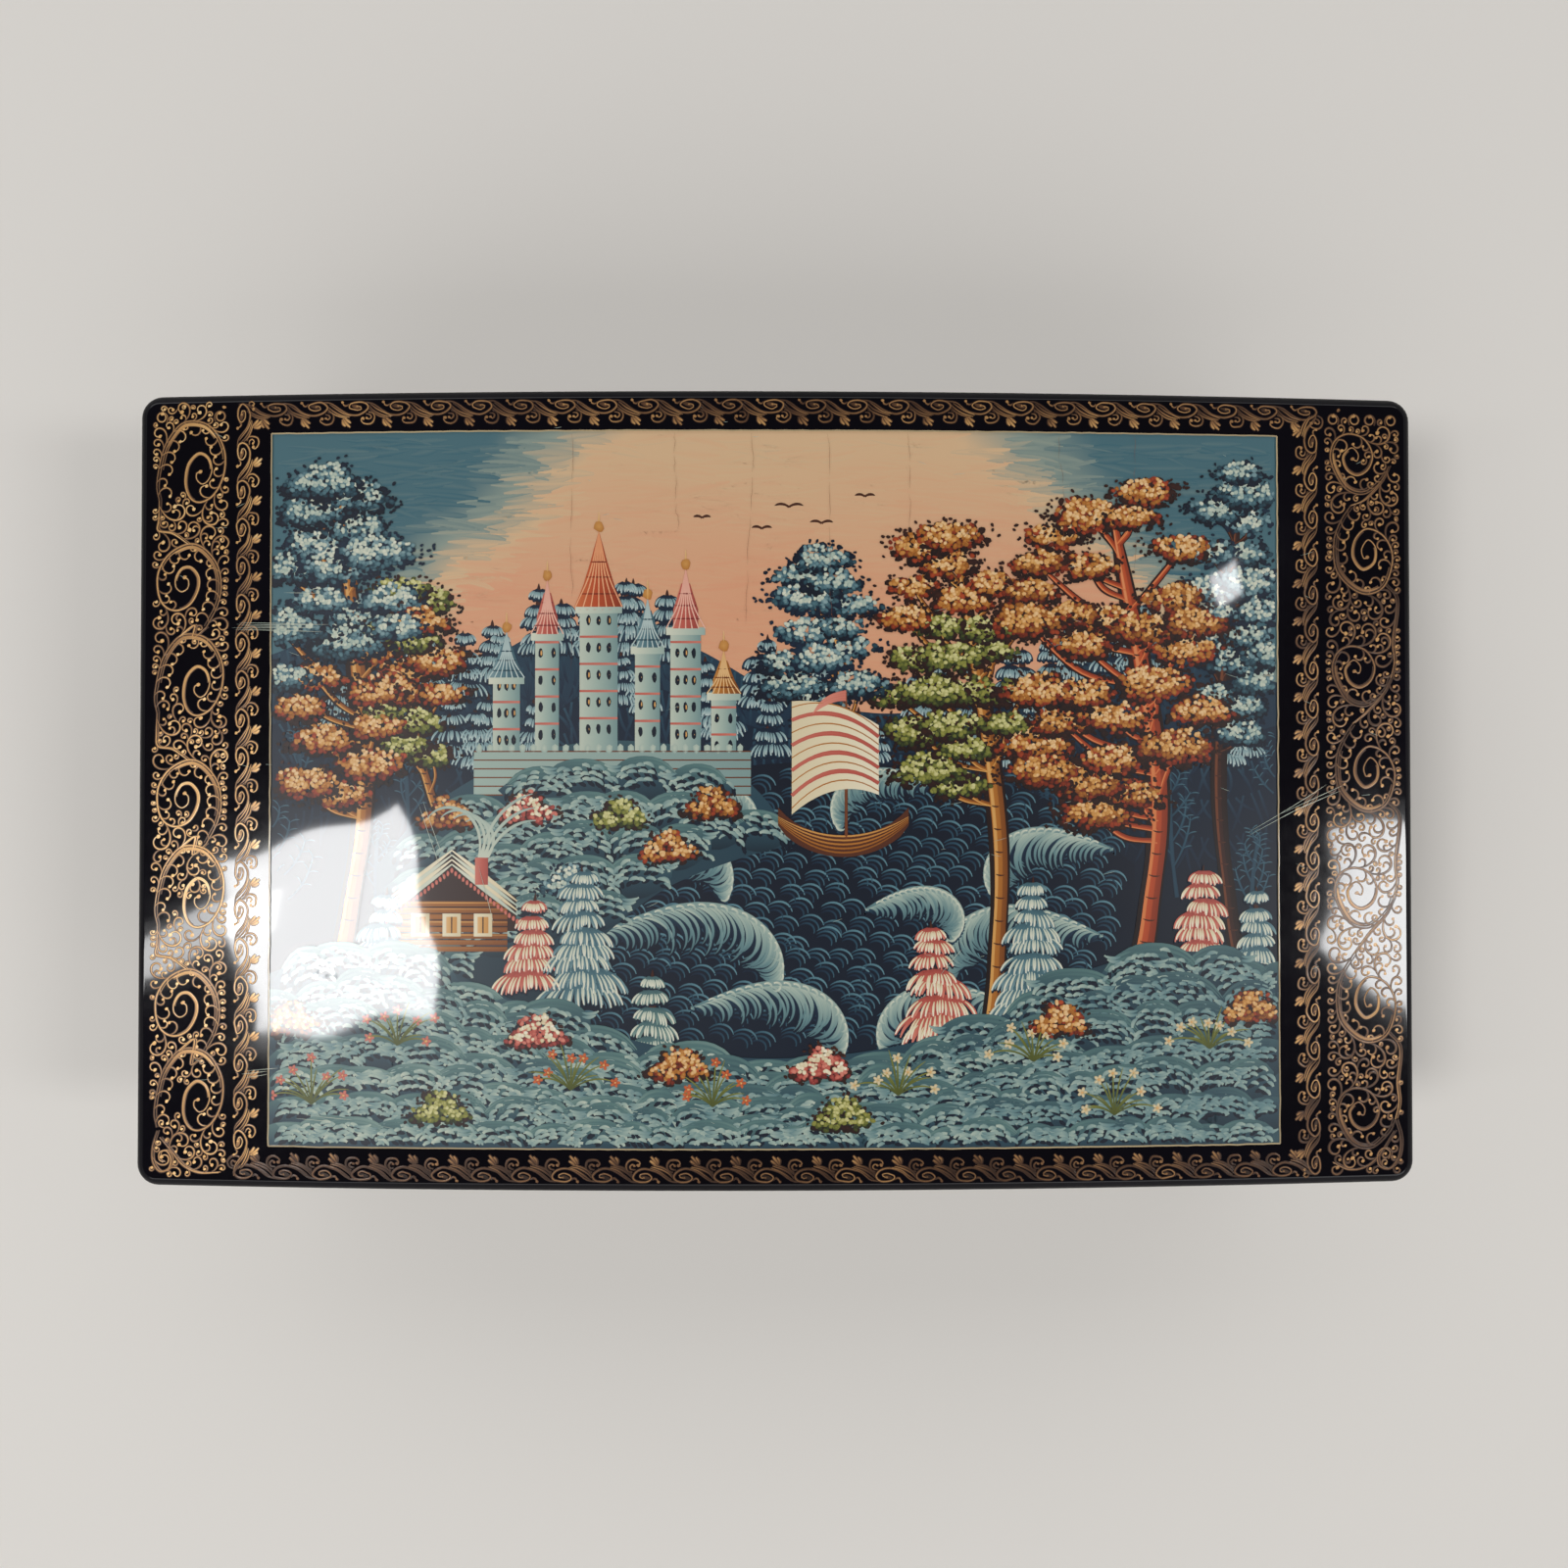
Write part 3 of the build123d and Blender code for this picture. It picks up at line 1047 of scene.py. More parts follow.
@dataclass
class LidOrnament:
    """All the gold on the lid: both end bands, the vine and the line round the painted field.

    Attributes:
        field: Left, lower, right and upper edge of the painted field in millimetres.
        line_width: Width of the line round it.
        line_level: Height of that line in microns.
        edges: Left, lower, right and upper edge that the gold keeps to.
    """

    field: Four = FIELD
    line_width: float = 0.28
    line_level: float = 240.0
    edges: Four = (-118.2, -72.7, 118.2, 72.7)

    def bands(self) -> list[EndBand]:
        """The two end bands.

        Returns:
            The left and the right band.
        """
        bridge = ((0, -8.3, -4.4), (0, -8.4, -8.0), (1, -5.0, 9.6), (1, -2.2, 9.0), (1, 0.8, 7.0))
        cross = ((0, 4.4, -8.6), (0, 1.8, -10.6), (1, -1.2, 12.0), (1, -4.4, 9.7))
        slant = ((0, 6.2, -1.6), (0, 4.6, -4.6), (0, 1.4, -8.0), (1, -3.0, 9.4))
        outer = ((0, 3.7, -5.4), (0, 5.9, -8.4), (1, 6.6, 5.4), (1, 6.9, 1.5), (1, 6.2, -1.6))
        left = EndBand(
            name="left_gold_band",
            edges=(-116.9, -102.4),
            eyes=((-107.4, 58.4), (-110.9, 38.8), (-107.6, 18.6), (-110.7, -1.5), (-107.3, -20.8), (-110.8, -40.4),
                  (-107.2, -58.4)),
            turns=(Turn.HIGH_LEFT, Turn.LOW_RIGHT),
            links=(bridge, cross),
            tails=(
                ((-115.4, -63.4), (-116.3, -66.5), (-116.2, -69.2), (-114.9, -70.9), (-113.2, -70.4), (-112.7, -68.6),
                 (-113.6, -67.1), (-114.9, -67.4), (-115.0, -68.7), (-114.2, -69.2)),
                ((-114.9, -64.6), (-112.6, -67.2), (-110.4, -69.7), (-107.4, -71.0), (-103.6, -70.9)),
            ),
        )
        right = EndBand(
            name="right_gold_band",
            edges=(102.7, 117.2),
            eyes=((109.0, 62.6), (110.7, 44.0), (109.2, 22.6), (110.9, 3.0), (109.4, -19.0), (110.8, -40.2),
                  (109.6, -60.2)),
            turns=(Turn.UNDER_LEFT, Turn.UNDER_RIGHT),
            links=(slant, outer),
            tails=(
                ((115.9, -62.0), (116.8, -65.4), (116.4, -68.8), (114.6, -71.0), (112.6, -70.4), (112.3, -68.4),
                 (113.4, -67.2), (114.7, -67.9), (114.4, -69.2)),
                ((115.6, -64.0), (112.4, -68.6), (109.8, -70.6), (106.6, -71.0), (103.6, -69.6)),
            ),
            # The right band is drawn finer, and its gold is set darker than the left band's as painted shade.
            weight=0.24,
            tone=0.4,
        )
        return [left, right]

    def build(self, ground: Ground, rng: Chance, gold: Material) -> None:
        """Draw all the gold.

        Args:
            ground: The lid's top.
            rng: Chance in the hand.
            gold: The gold's material.
        """
        for part in (*self.bands(), VineFrame()):
            brush = Brush(ground, rng, within=self.edges)
            part.paint(brush)
            brush.build(part.name, gold)
        self._line(ground, rng)

    def _line(self, ground: Ground, rng: Chance) -> None:
        """Draw the line round the painted field.

        Args:
            ground: The lid's top.
            rng: Chance in the hand.
        """
        x0, y0, x1, y1 = self.field
        brush = Brush(ground, rng, self.line_level)
        for a, b in (((x0, y0), (x1, y0)), ((x1, y0), (x1, y1)), ((x1, y1), (x0, y1)), ((x0, y1), (x0, y0))):
            count = int(math.dist(a, b) / 1.6)
            path = np.linspace(a, b, count) + rng.normal(0, 0.03, (count, 2))
            path[[0, -1]] = a, b
            brush.stroke(path, self.line_width, Mix.CREAM, (0.28, 0.36), (1.0, 1.0), rise=8.0)
        brush.build("field_line", PaintFinish("field_line_paint").material())


# Painted field


class Leaf(Enum):
    """Kinds of foliage: pigment and shade of the outline, the shadow, the body and the light."""

    AUTUMN = ((Mix.UMBER, 0.4), (Mix.ORANGE, 0.34), (Mix.OCHRE, 0.56), (Mix.OCHRE, 0.9))
    EMBER = ((Mix.UMBER, 0.42), (Mix.ORANGE, 0.3), (Mix.OCHRE, 0.46), (Mix.OCHRE, 0.82))
    FROST = ((Mix.NIGHT, 0.3), (Mix.LEAF, 0.3), (Mix.LEAF, 0.58), (Mix.PALE, 0.66))
    MOSS = ((Mix.UMBER, 0.4), (Mix.OLIVE, 0.36), (Mix.OLIVE, 0.66), (Mix.OLIVE, 0.95))
    ROSE = ((Mix.UMBER, 0.5), (Mix.CORAL, 0.36), (Mix.CORAL, 0.62), (Mix.CREAM, 0.76))
    MIST = ((Mix.NIGHT, 0.45), (Mix.LEAF, 0.4), (Mix.LEAF, 0.66), (Mix.PALE, 0.74))


@dataclass
class Clump:
    """A rounded clump of leaves: separate dark dabs round it, a shadowed body and light dabs on top."""

    spot: Sequence[float]
    size: Sequence[float]
    leaf: Leaf

    def paint(self, brush: Brush, level: float) -> None:
        """Dab the clump.

        Args:
            brush: Brush on the painted field.
            level: Height of its lowest layer in microns.
        """
        rng = brush.rng
        (x, y), (width, height) = self.spot, self.size
        outline, shadow, body, light = self.leaf.value
        # Rise, dabs to the square millimetre, radii squared, lift, a dab's size, colour, its spread.
        layers = (
            (0, 0.55, 1.0, 2.0, -0.05, 0.8, 0.56, outline, 0.05),
            (0, 0.9, 0.0, 1.12, -0.1, 1.6, 1.1, outline, 0.06),
            (3, 1.0, 0.0, 0.96, 0.0, 1.05, 0.8, shadow, 0.14),
            (6, 0.85, 0.0, 0.76, 0.14, 0.98, 0.76, body, 0.12),
            (9, 0.66, 0.0, 0.54, 0.32, 0.86, 0.7, light, 0.14),
        )
        for step, density, low, high, lift, long, wide, (pigment, shade), spread in layers:
            count = int(width * height * density)
            a = rng.uniform(0, 2 * np.pi, count)
            wave = 1 + 0.13 * np.sin(3 * a + x) + 0.08 * np.sin(7 * a + y)
            r = np.sqrt(rng.uniform(low, high, count)) * wave
            rise = (np.sin(a) * r * (1 - 0.3 * (np.sin(a) < 0)) + lift) / 2
            spots = join(x + np.cos(a) * width / 2 * r, y + rise * height)
            tone = shade + rng.uniform(-spread, spread * 0.7, count) + 0.12 * rise
            sizes = rng.uniform(0.85, 1.15, count)
            brush.at(level + step).dabs(spots, long * sizes, wide * sizes, rng.normal(0, 0.7, count), pigment, tone)


@dataclass
class Tree:
    """A tree with a bowed trunk and a crown of rounded clumps.

    Sizes are millimetres: middle and half sizes of the crown, sideways bow of the trunk, its girth
    at the foot, and the bulk of a middling clump. The leaves are named from the lowest clumps up.
    """

    root: Pair
    crown: Pair
    spread: Pair
    bow: float
    girth: float
    leaves: Sequence[Leaf]
    clumps: int = 16
    bark: Mix = Mix.ORANGE
    bulk: float = 11.5

    # Clumps lie in so many stacks, each so many microns above the one before.
    STACKS = 6
    STACK_STEP = 13.0
    TICKED_GIRTH = 1.5
    TRIES = 4000

    def paint(self, brush: Brush, level: float) -> None:
        """Paint the tree.

        Args:
            brush: Brush on the painted field.
            level: Height of its lowest layer in microns.
        """
        rng = brush.rng
        root, crown, spread = np.array(self.root), np.array(self.crown), np.array(self.spread)
        tip = crown + (0, spread[1] * 0.8)
        middle = (root * 0.55 + tip * 0.45) + (self.bow, 0)
        trunk = even(smooth([root, (root * 2 + middle) / 3 + (self.bow * 0.2, 0), middle, tip], 1.0), 44)
        clumps = self._clump_places(rng, crown, spread)
        self._bark(brush, level, trunk, self.girth)
        for clump in clumps:
            spot = clump.spot
            fork = int(np.clip(np.searchsorted(trunk[:, 1], spot[1] - 0.5 * abs(spot[0] - crown[0]) - 5), 6, 40))
            start = trunk[fork]
            knee = (start + spot) / 2 + (rng.uniform(-1, 1), -0.14 * abs(spot[0] - start[0]))
            self._bark(brush, level, even(smooth([start, knee, spot], 1.0), 16), max(self.girth * 0.3, 0.6))
        for number, clump in enumerate(clumps):
            clump.paint(brush, level + 12 + (number % self.STACKS) * self.STACK_STEP)
        heading = np.radians([-155, -130, -90, -50, -25])
        roots = scrolls(np.tile(root, (5, 1)), heading, 5.0, [0.9, 0.5, 0.1, -0.5, -0.9])
        brush.at(level + 2).strokes(roots, self.girth * 0.42, self.bark, (0.35, 0.55), (1.0, 0.1))

    def _bark(self, brush: Brush, level: float, path: Array, girth: float) -> None:
        """Paint a trunk or branch with a dark edge, a body and light strokes on its left side.

        Args:
            brush: Brush on the painted field.
            level: Height of its lowest layer in microns.
            path: Middle line from its foot.
            girth: Width at its foot.
        """
        along = np.gradient(path, axis=0)
        side = join(-along[:, 1], along[:, 0]) / np.linalg.norm(along, axis=1)[:, None]
        thin = (1 - 0.75 * np.linspace(0, 1, len(path)))[:, None]
        brush.at(level).stroke(path, girth * 1.25, Mix.UMBER, (0.25, 0.35), (1.0, 0.35))
        for k, (offset, width, shade) in enumerate(((-0.1, 0.8, 0.3), (0.1, 0.5, 0.46), (0.26, 0.2, 0.72))):
            moved = path + side * thin * girth * offset
            brush.at(level + 2.2 * (k + 1)).stroke(moved, girth * width, self.bark, (shade, shade + 0.06), (1.0, 0.3))
        if girth > self.TICKED_GIRTH:
            some = slice(2, len(path) * 3 // 4, 2)
            ticks = scrolls(path[some], -0.5, girth * 0.7 * thin[some], 0.8, 1.0, 6)
            brush.at(level + 8.5).strokes(ticks - (girth * 0.25, 0), 0.3, Mix.UMBER, (0.5, 0.6), (0.3, 0.2))

    def _clump_places(self, rng: Chance, crown: Array, spread: Array) -> list[Clump]:
        """Share clumps over the crown, well apart from each other.

        Args:
            rng: Chance in the layout.
            crown: Middle of the crown.
            spread: Half sizes of the crown.

        Returns:
            The clumps from the lowest to the highest.
        """
        spots: list[Array] = []
        gap = self.bulk * 0.62
        for _ in range(self.TRIES):
            if len(spots) >= self.clumps:
                break
            a, r = rng.uniform(0, 2 * np.pi), math.sqrt(rng.uniform(0, 1))
            spot = crown + spread * (math.cos(a) * r, math.sin(a) * r)
            if all(math.hypot(spot[0] - o[0], (spot[1] - o[1]) * 1.45) > gap for o in spots):
                spots.append(spot)
            gap *= 0.9995
        spots.sort(key=lambda spot: spot[1])
        clumps = []
        for number, spot in enumerate(spots):
            size = np.array([self.bulk * 1.12, self.bulk * 0.56]) * rng.uniform(0.78, 1.18)
            kind = min(int(number / len(spots) * len(self.leaves) + rng.uniform(-0.6, 0.6)), len(self.leaves) - 1)
            clumps.append(Clump(spot, size, self.leaves[max(kind, 0)]))
        return clumps


@dataclass
class Fir:
    """A fir whose boughs hang in feathered combs with lighter tips, in millimetres."""

    foot: Pair
    height: float
    width: float
    shade: Mix = Mix.LEAF
    light: Mix = Mix.PALE
    lean: float = 0.0

    def paint(self, brush: Brush, level: float) -> None:
        """Paint the fir from its lowest boughs up.

        Args:
            brush: Brush on the painted field.
            level: Height of its lowest layer in microns.
        """
        rng = brush.rng
        foot = np.array(self.foot)
        tip = foot + (self.lean, self.height)
        brush.at(level).stroke(np.linspace(foot, tip, 24), 1.3, Mix.UMBER, (0.6, 0.5), (1.0, 0.1))
        tiers = max(int(self.height / 2.6), 4)
        for tier in range(tiers):
            t = 1 - (tier + 0.3) / tiers
            hub = tip + (foot - tip) * t * 0.9 + rng.normal(0, 0.25, 2)
            for side in (-1, 1):
                reach = self.width / 2 * (0.2 + 0.8 * t) * rng.uniform(0.65, 1.25)
                count = 9 + int(reach)
                out = np.linspace(0.0, 1.0, count)
                start = hub + join(side * out * reach * 0.45, 0.5 - 0.1 * out * reach)
                down = np.radians(86 - 66 * out) + rng.normal(0, 0.06, count)
                heading = np.where(side > 0, -down, np.pi + down)
                length = reach * (0.36 + 0.34 * out) + 1.3 + 0.5 * rng.uniform(size=count)
                boughs = scrolls(start, heading, length, -side * (0.2 + 0.75 * out), 1.3, 10)
                brush.at(level + 2 + 0.9 * tier).strokes(boughs - (0, 0.4), 1.0, Mix.NIGHT, (0.25, 0.35), (0.9, 0.3))
                brush.at(level + 4 + 0.9 * tier).strokes(boughs, 0.66, self.shade, (0.36, 0.66), (0.9, 0.3))
                fine = boughs[::2, 3:] + (0.1 * side, 0.12)
                brush.at(level + 6 + 0.9 * tier).strokes(fine, 0.4, self.light, (0.6, 0.9), (0.4, 0.5))


@dataclass
class PaintedField(Brush):
    """The brush that paints the picture: a walled town, a lake and an autumn wood.

    Its layers rise from 3 microns for the sky to about 230 for the nearest bushes.

    Attributes:
        within: Left, lower, right and upper edge of the picture in millimetres.
        glow: Middle of the light in the sky.
        column: Greatest width of a strip of a wash, so that it follows the arch.
    """

    within: Four = FIELD
    glow: Pair = (3.0, 62.0)
    column: float = 1.6

    def _columns(self, start: float, stop: float) -> Array:
        """Even columns between two x values, close enough to follow the arch."""
        return np.linspace(start, stop, max(int(abs(stop - start) / self.column) + 2, 3))

    def _sky_tone(self, x: Array, y: Array) -> Array:
        """Find the shade of the sky: cream at the top of the glow, rose below, blue-green beside it.

        Args:
            x: Distances to the right in millimetres.
            y: Distances up.

        Returns:
            Shades on the sky's palette.
        """
        down = self.glow[1] - y + 2 * np.sin(x / 9 + y / 5)
        warm = 0.76 + 0.2 * np.clip(down / 27, 0, 1)
        away = np.clip((np.abs(x - self.glow[0]) - 34 - 0.9 * down) / 23, 0, 1)
        return warm + (0.27 - warm) * away

    def sky(self) -> None:
        """Paint the sky, its streaks and birds."""
        rng = self.rng
        x0, y0, x1, y1 = self.within
        self.at(3.0).wash(self._columns(x0, x1), y0, y1, Mix.SKY, self._sky_tone, rows=60)
        count = 1700
        start = join(rng.uniform(x0 + 1, x1 - 8, count), rng.uniform(2, y1 - 1.2, count))
        length = np.minimum(rng.uniform(5, 14, count), x1 - 1 - start[:, 0])
        streaks = scrolls(start, rng.normal(0.0, 0.07, count), length, rng.normal(0, 0.18, count), 1.0, 9)
        tone = self._sky_tone(start[:, 0] + length / 2, start[:, 1]) + rng.normal(0, 0.008, count)
        pairs = join(tone, tone + rng.normal(0, 0.01, count))
        self.at(5.0).strokes(streaks, rng.uniform(0.6, 1.7, count), Mix.SKY, np.clip(pairs, 0.02, 0.98))
        self.level = 16.0
        for x, y, size in ((2, 52, 1.0), (8, 49, 0.8), (-3, 48, 0.7), (16, 54, 0.7), (-14, 50, 0.6)):
            wings = scrolls(np.tile([x, y], (2, 1)), [2.4, 0.74], 2.9 * size, [1.3, -1.3], 1.0, 8)
            self.strokes(wings, 0.5, Mix.UMBER, (0.55, 0.5), (0.9, 0.1))

    def _land(self, crest: Sequence[Pair], foot: Sequence[Pair], pigment: Mix, tones: Pair) -> Array:
        """Fill the land between a crest line and a foot line.

        Args:
            crest: Points of the crest from left to right.
            foot: Points of the foot.
            pigment: Mix of the land.
            tones: Shades at the foot and at the crest.

        Returns:
            The crest as a smooth line.
        """
        line, under = smooth(crest, 0.8), smooth(foot, 0.8)
        columns = self._columns(line[0, 0], line[-1, 0])
        high = np.interp(columns, line[:, 0], line[:, 1])
        low = np.minimum(np.interp(columns, under[:, 0], under[:, 1]), high - 0.1)
        rate = (tones[1] - tones[0]) / (high.max() - low.min())
        self.wash(columns, low, high, pigment, blend(tones[0], (0, low.min()), up=rate), 10)
        return line

    def _sapling(self, spot: Sequence[float], height: float, tone: float, pigment: Mix) -> None:
        """Paint a bare sapling whose twigs fork twice.

        Args:
            spot: Its foot.
            height: Length of its trunk.
            tone: Shade of the trunk.
            pigment: Mix of the whole sapling.
        """
        rng = self.rng
        trunk = scrolls(spot, UP + rng.normal(0, 0.12), height, rng.normal(0, 0.35), 1.0, 22)[0]
        self.stroke(trunk, 0.8, pigment, (tone - 0.1, tone), (1.0, 0.1))
        roots = trunk[5:-2:2]
        count = len(roots)
        side = np.where(np.arange(count) % 2, 1.0, -1.0)
        heading = UP + side * rng.uniform(0.5, 0.95, count)
        length = height * np.linspace(0.42, 0.14, count)
        limbs = scrolls(roots, heading, length, -side * rng.uniform(0.3, 1.0, count), 1.0, 12)
        self.strokes(limbs, 0.42, pigment, (tone - 0.05, tone + 0.08), (0.9, 0.1))
        for at in (4, 7, 10):
            for way in (-1, 1):
                turn = heading - side * 0.4 + way * 0.6
                twigs = scrolls(limbs[:, at], turn, height * 0.085, way * 0.9, 1.0, 6)
                self.strokes(twigs, 0.26, pigment, (tone, tone + 0.14), (0.8, 0.1))

    def far_land(self) -> None:
        """Paint the dark far hills with combs of light, rows of small firs and bare saplings."""
        rng = self.rng
        x0, y0, x1, _ = self.within
        far = ((x0, 25), (-78, 30), (-60, 22), (-40, 30), (-18, 27), (0, 18), (22, 14), (44, 20), (66, 27), (x1, 20))
        near = ((x0, 12), (-74, 17), (-52, 8), (-30, 20), (-6, 12), (14, 7), (38, 8), (60, 14), (80, 9), (x1, 12))
        for level, crest, tone, count in ((14.0, far, 0.64, 26), (30.0, near, 0.42, 20)):
            line = self.at(level)._land(crest, ((x0, y0), (x1, y0)), Mix.NIGHT, (0.1, tone))
            spots = line[2:-2:2]
            many = len(spots)
            lean = rng.normal(-1.45, 0.3, many)
            for drop in (0.3, 5.0, 11.0, 18.0):
                combs = scrolls(spots - (0, drop), lean, rng.uniform(4, 9, many), rng.normal(0, 0.7, many), 1.2, 9)
                self.at(level + 2).strokes(combs, 0.6, Mix.NIGHT, (0.74 - drop * 0.012, 0.4), (0.8, 0.1))
            for x in rng.uniform(x0 + 5, x1 - 5, count):
                y = float(np.interp(x, *line.T))
                fir = Fir((x, y - 4.0), rng.uniform(8, 14), rng.uniform(5, 7), Mix.NIGHT, Mix.LEAF)
                fir.paint(self, level + 3)
        self.level = 46.0
        for x, y, height in (
            (-90, -26, 24), (-74, -24, 18), (-68, -10, 20), (88, -28, 20), (74, -20, 24), (56, -14, 18), (92, -6, 16),
            (-88, -2, 18), (70, -2, 14), (80, 4, 12), (-56, -16, 14), (50, -4, 12),
        ):
            self._sapling((x, y), height, 0.72, Mix.NIGHT)

    def lake(self) -> None:
        """Paint the dark water, its small waves and long combed currents."""
        rng = self.rng
        shore = ((-46, -16), (-34, -4), (-14, 3), (8, 5), (34, 3), (52, -3), (66, -14))
        self.at(50.0)._land(shore, ((-46, -50), (66, -50)), Mix.NIGHT, (0.3, 0.22))
        for row in range(17):
            y = 2.0 - row * 2.9
            left = -40 + 5 * math.sin(row) + max(16 - 6 * row, 0)
            x = np.arange(left, 60 - max(14 - 4 * row, 0), 4.6) + rng.uniform(-1.2, 1.2)
            start = join(x, y) + rng.normal(0, (0.6, 0.4), (len(x), 2))
            for ring in range(3):
                wave = scrolls(start - (0, 0.6 * ring), 0.62, 5.6 - 0.7 * ring, -2.0 - 0.3 * ring, 1.3, 12)
                tone = 0.6 + 0.14 * (2 - ring) + rng.uniform(-0.08, 0.08)
                self.at(52.0).strokes(wave, 0.4, Mix.NIGHT, (tone - 0.14, tone + 0.14), (0.2, 0.4))
        breakers = (
            (-38, -13, 0.5, 40, -2.6, 8.0), (62, -11, 2.75, 34, 2.8, 7.5), (-34, -27, 0.42, 46, -2.4, 8.5),
            (60, -27, 2.7, 40, 2.5, 8.0), (-16, -40, 0.4, 40, -2.7, 7.5), (44, -40, 2.75, 36, 2.7, 7.0),
            (30, 1, 2.8, 28, 2.6, 5.5), (-20, 0, 0.2, 24, -2.8, 5.0), (16, -22, 0.5, 26, -3.0, 6.0),
        )
        for number, (x, y, heading, length, bend, reach) in enumerate(breakers):
            spine = scrolls((x, y), heading, length, bend, 2.2, 46)[0]
            self.at(54.0 + 1.2 * number)._breaker(spine, reach, math.copysign(1, bend))

    def _breaker(self, spine: Array, reach: float, side: float) -> None:
        """Paint a breaking wave: a bent spine with combed foam that hangs from it.

        Args:
            spine: Line of the crest, from its tail to its curl.
            reach: Greatest length of the foam.
            side: 1 where the foam hangs to the left of the spine, -1 to the right.
        """
        rng = self.rng
        level = self.level
        along = np.gradient(spine, axis=0)
        angle = np.arctan2(along[:, 1], along[:, 0])
        t = np.linspace(0, 1, len(spine))
        length = 1.35 * reach * np.sin(np.pi * t**0.8) ** 0.7 * rng.uniform(0.7, 1.1, len(spine)) + 0.8
        foam = scrolls(spine, angle + side * 0.4, length, side * 2.1, 1.5, 18)
        self.strokes(foam - (0, 0.3), 1.5, Mix.NIGHT, (0.72, 0.28), (0.8, 0.2))
        tones = join(rng.uniform(0.44, 0.7, len(spine)), 0.1)
        self.at(level + 2.5).strokes(foam, 0.56, Mix.PALE, tones, (0.8, 0.1))
        self.at(level + 4.5).stroke(spine, 1.0, Mix.PALE, (0.2, 0.55), (0.1, 0.5))
        teeth = scrolls(spine[4::2], angle[4::2] - side * 0.5, 2.2, side * 2.4, 1.0, 9)
        self.at(level + 6.0).strokes(teeth, 0.42, Mix.PALE, (0.8, 0.45), (0.8, 0.2))

    def town(self) -> None:
        """Paint a walled town of pale towers with tent roofs on its hill."""
        rng = self.rng
        crest = ((-74, -14), (-66, -5), (-56, 2), (-44, 7), (-30, 9), (-14, 7), (-4, 0), (3, -9))
        foot = ((-74, -44), (-52, -44), (-38, -32), (-22, -19), (-8, -13), (3, -10))
        line = self.at(66.0)._land(crest, foot, Mix.MOUND, (0.05, 0.3))
        towers = (
            (-50.0, 5.0, 5.0, 15.0, 8.5, Mix.LEAF), (-42.5, 6.0, 4.4, 22.0, 10.0, Mix.CORAL),
            (-33.0, 7.0, 7.0, 26.0, 14.0, Mix.ORANGE), (-24.0, 6.5, 4.6, 19.0, 9.0, Mix.LEAF),
            (-17.0, 6.0, 5.6, 23.0, 11.0, Mix.CORAL), (-10.0, 4.0, 4.6, 13.0, 8.0, Mix.OCHRE),
        )
        for tower in towers:
            self.at(68.0)._tower(*tower)
        self.at(82.0)._wall(-56.0, -5.0, -1.0, 8.0)
        for row, (drop, count) in enumerate(((3.0, 7), (9.0, 8), (15.0, 7), (21.0, 6), (27.0, 4))):
            self.level = 92.0 + 8 * row
            for x in np.linspace(-66 + row, -4 - 7.5 * row, count) + rng.uniform(-1, 1, count):
                y = float(np.interp(x, *line.T)) - drop - 4.0
                self._hillock((x, y), rng.uniform(11, 15), rng.uniform(3.6, 5), rng.choice([-1, 1]), 0.72)
        for x, y, leaf in ((-46, -5, Leaf.ROSE), (-29, -6, Leaf.MOSS), (-12, -4, Leaf.EMBER), (-38, -18, Leaf.MIST),
                           (-20, -12, Leaf.AUTUMN), (-61, -6, Leaf.EMBER)):
            self._bush(x, y, leaf, 128.0, 5.5, 5.8)

    def _block(self, x: float, y: float, width: float, height: float, pigment: Mix, tones: Pair) -> None:
        """Fill an upright rectangle.

        Args:
            x: Middle of its foot.
            y: Its foot.
            width: Its width.
            height: Its height.
            pigment: Mix that fills it.
            tones: Shades at its left side and at its right.
        """
        shade = blend(tones[0], (x - width / 2, 0), (tones[1] - tones[0]) / width)
        self.wash(self._columns(x - width / 2, x + width / 2), y, y + height, pigment, shade)

    def _tower(self, x: float, y: float, width: float, height: float, roof: float, pigment: Mix) -> None:
        """Paint one tower with its windows, cornice, tent roof and gilt finial.

        Args:
            x: Middle of the tower.
            y: Its foot.
            width: Its width.
            height: Height of its walls.
            roof: Height of its roof.
            pigment: Mix of the roof.
        """
        level = self.level
        half, top = width / 2, y + height
        self._block(x, y, width, height, Mix.PALE, (0.66, 0.3))
        self.level = level + 2
        for base in y + 3.2 + 5.0 * np.arange(int(height / 5)):
            belt = join(np.linspace(x - half, x + half, 6), base + 2.9)
            self.stroke(belt, 0.45, Mix.CORAL, (0.5, 0.6), (0.9, 0.9))
            across = np.linspace(-0.27, 0.27, 2 if width < 5 else 3) * width
            spots = join(x + across, base + 0.9)
            self.dabs(spots, 1.9, 0.85, UP, Mix.NIGHT, 0.25, sides=9)
            self.dabs(spots + (0.12, 0), 1.0, 0.34, UP, Mix.OCHRE, 0.8)
        self.at(level + 4)._block(x, top - 0.6, width + 1.6, 1.4, Mix.PALE, (0.8, 0.45))
        columns = self._columns(x - half - 1.0, x + half + 1.0)
        away = np.abs(columns - x) / (half + 1.0)
        shade = blend(0.62, (x - half, 0), -0.3 / width)
        self.at(level + 6).wash(columns, top + 0.6, top + 0.6 + roof * (1 - away) ** 1.25, pigment, shade, 3)
        self.level = level + 8
        spread = np.linspace(-1, 1, 7)
        foot = join(x + spread * (half + 0.8), top + 0.6)
        apex = np.array([x, top + 0.5 + roof])
        middle = (foot + apex) / 2 + join(-spread * 0.5, -0.8)
        ribs = np.stack([even(smooth([a, b, apex], 0.8), 12) for a, b in zip(foot, middle)])
        self.strokes(ribs, 0.28, pigment, (0.9, 0.8), (0.8, 0.3))
        for share in (0.2, 0.42, 0.62):
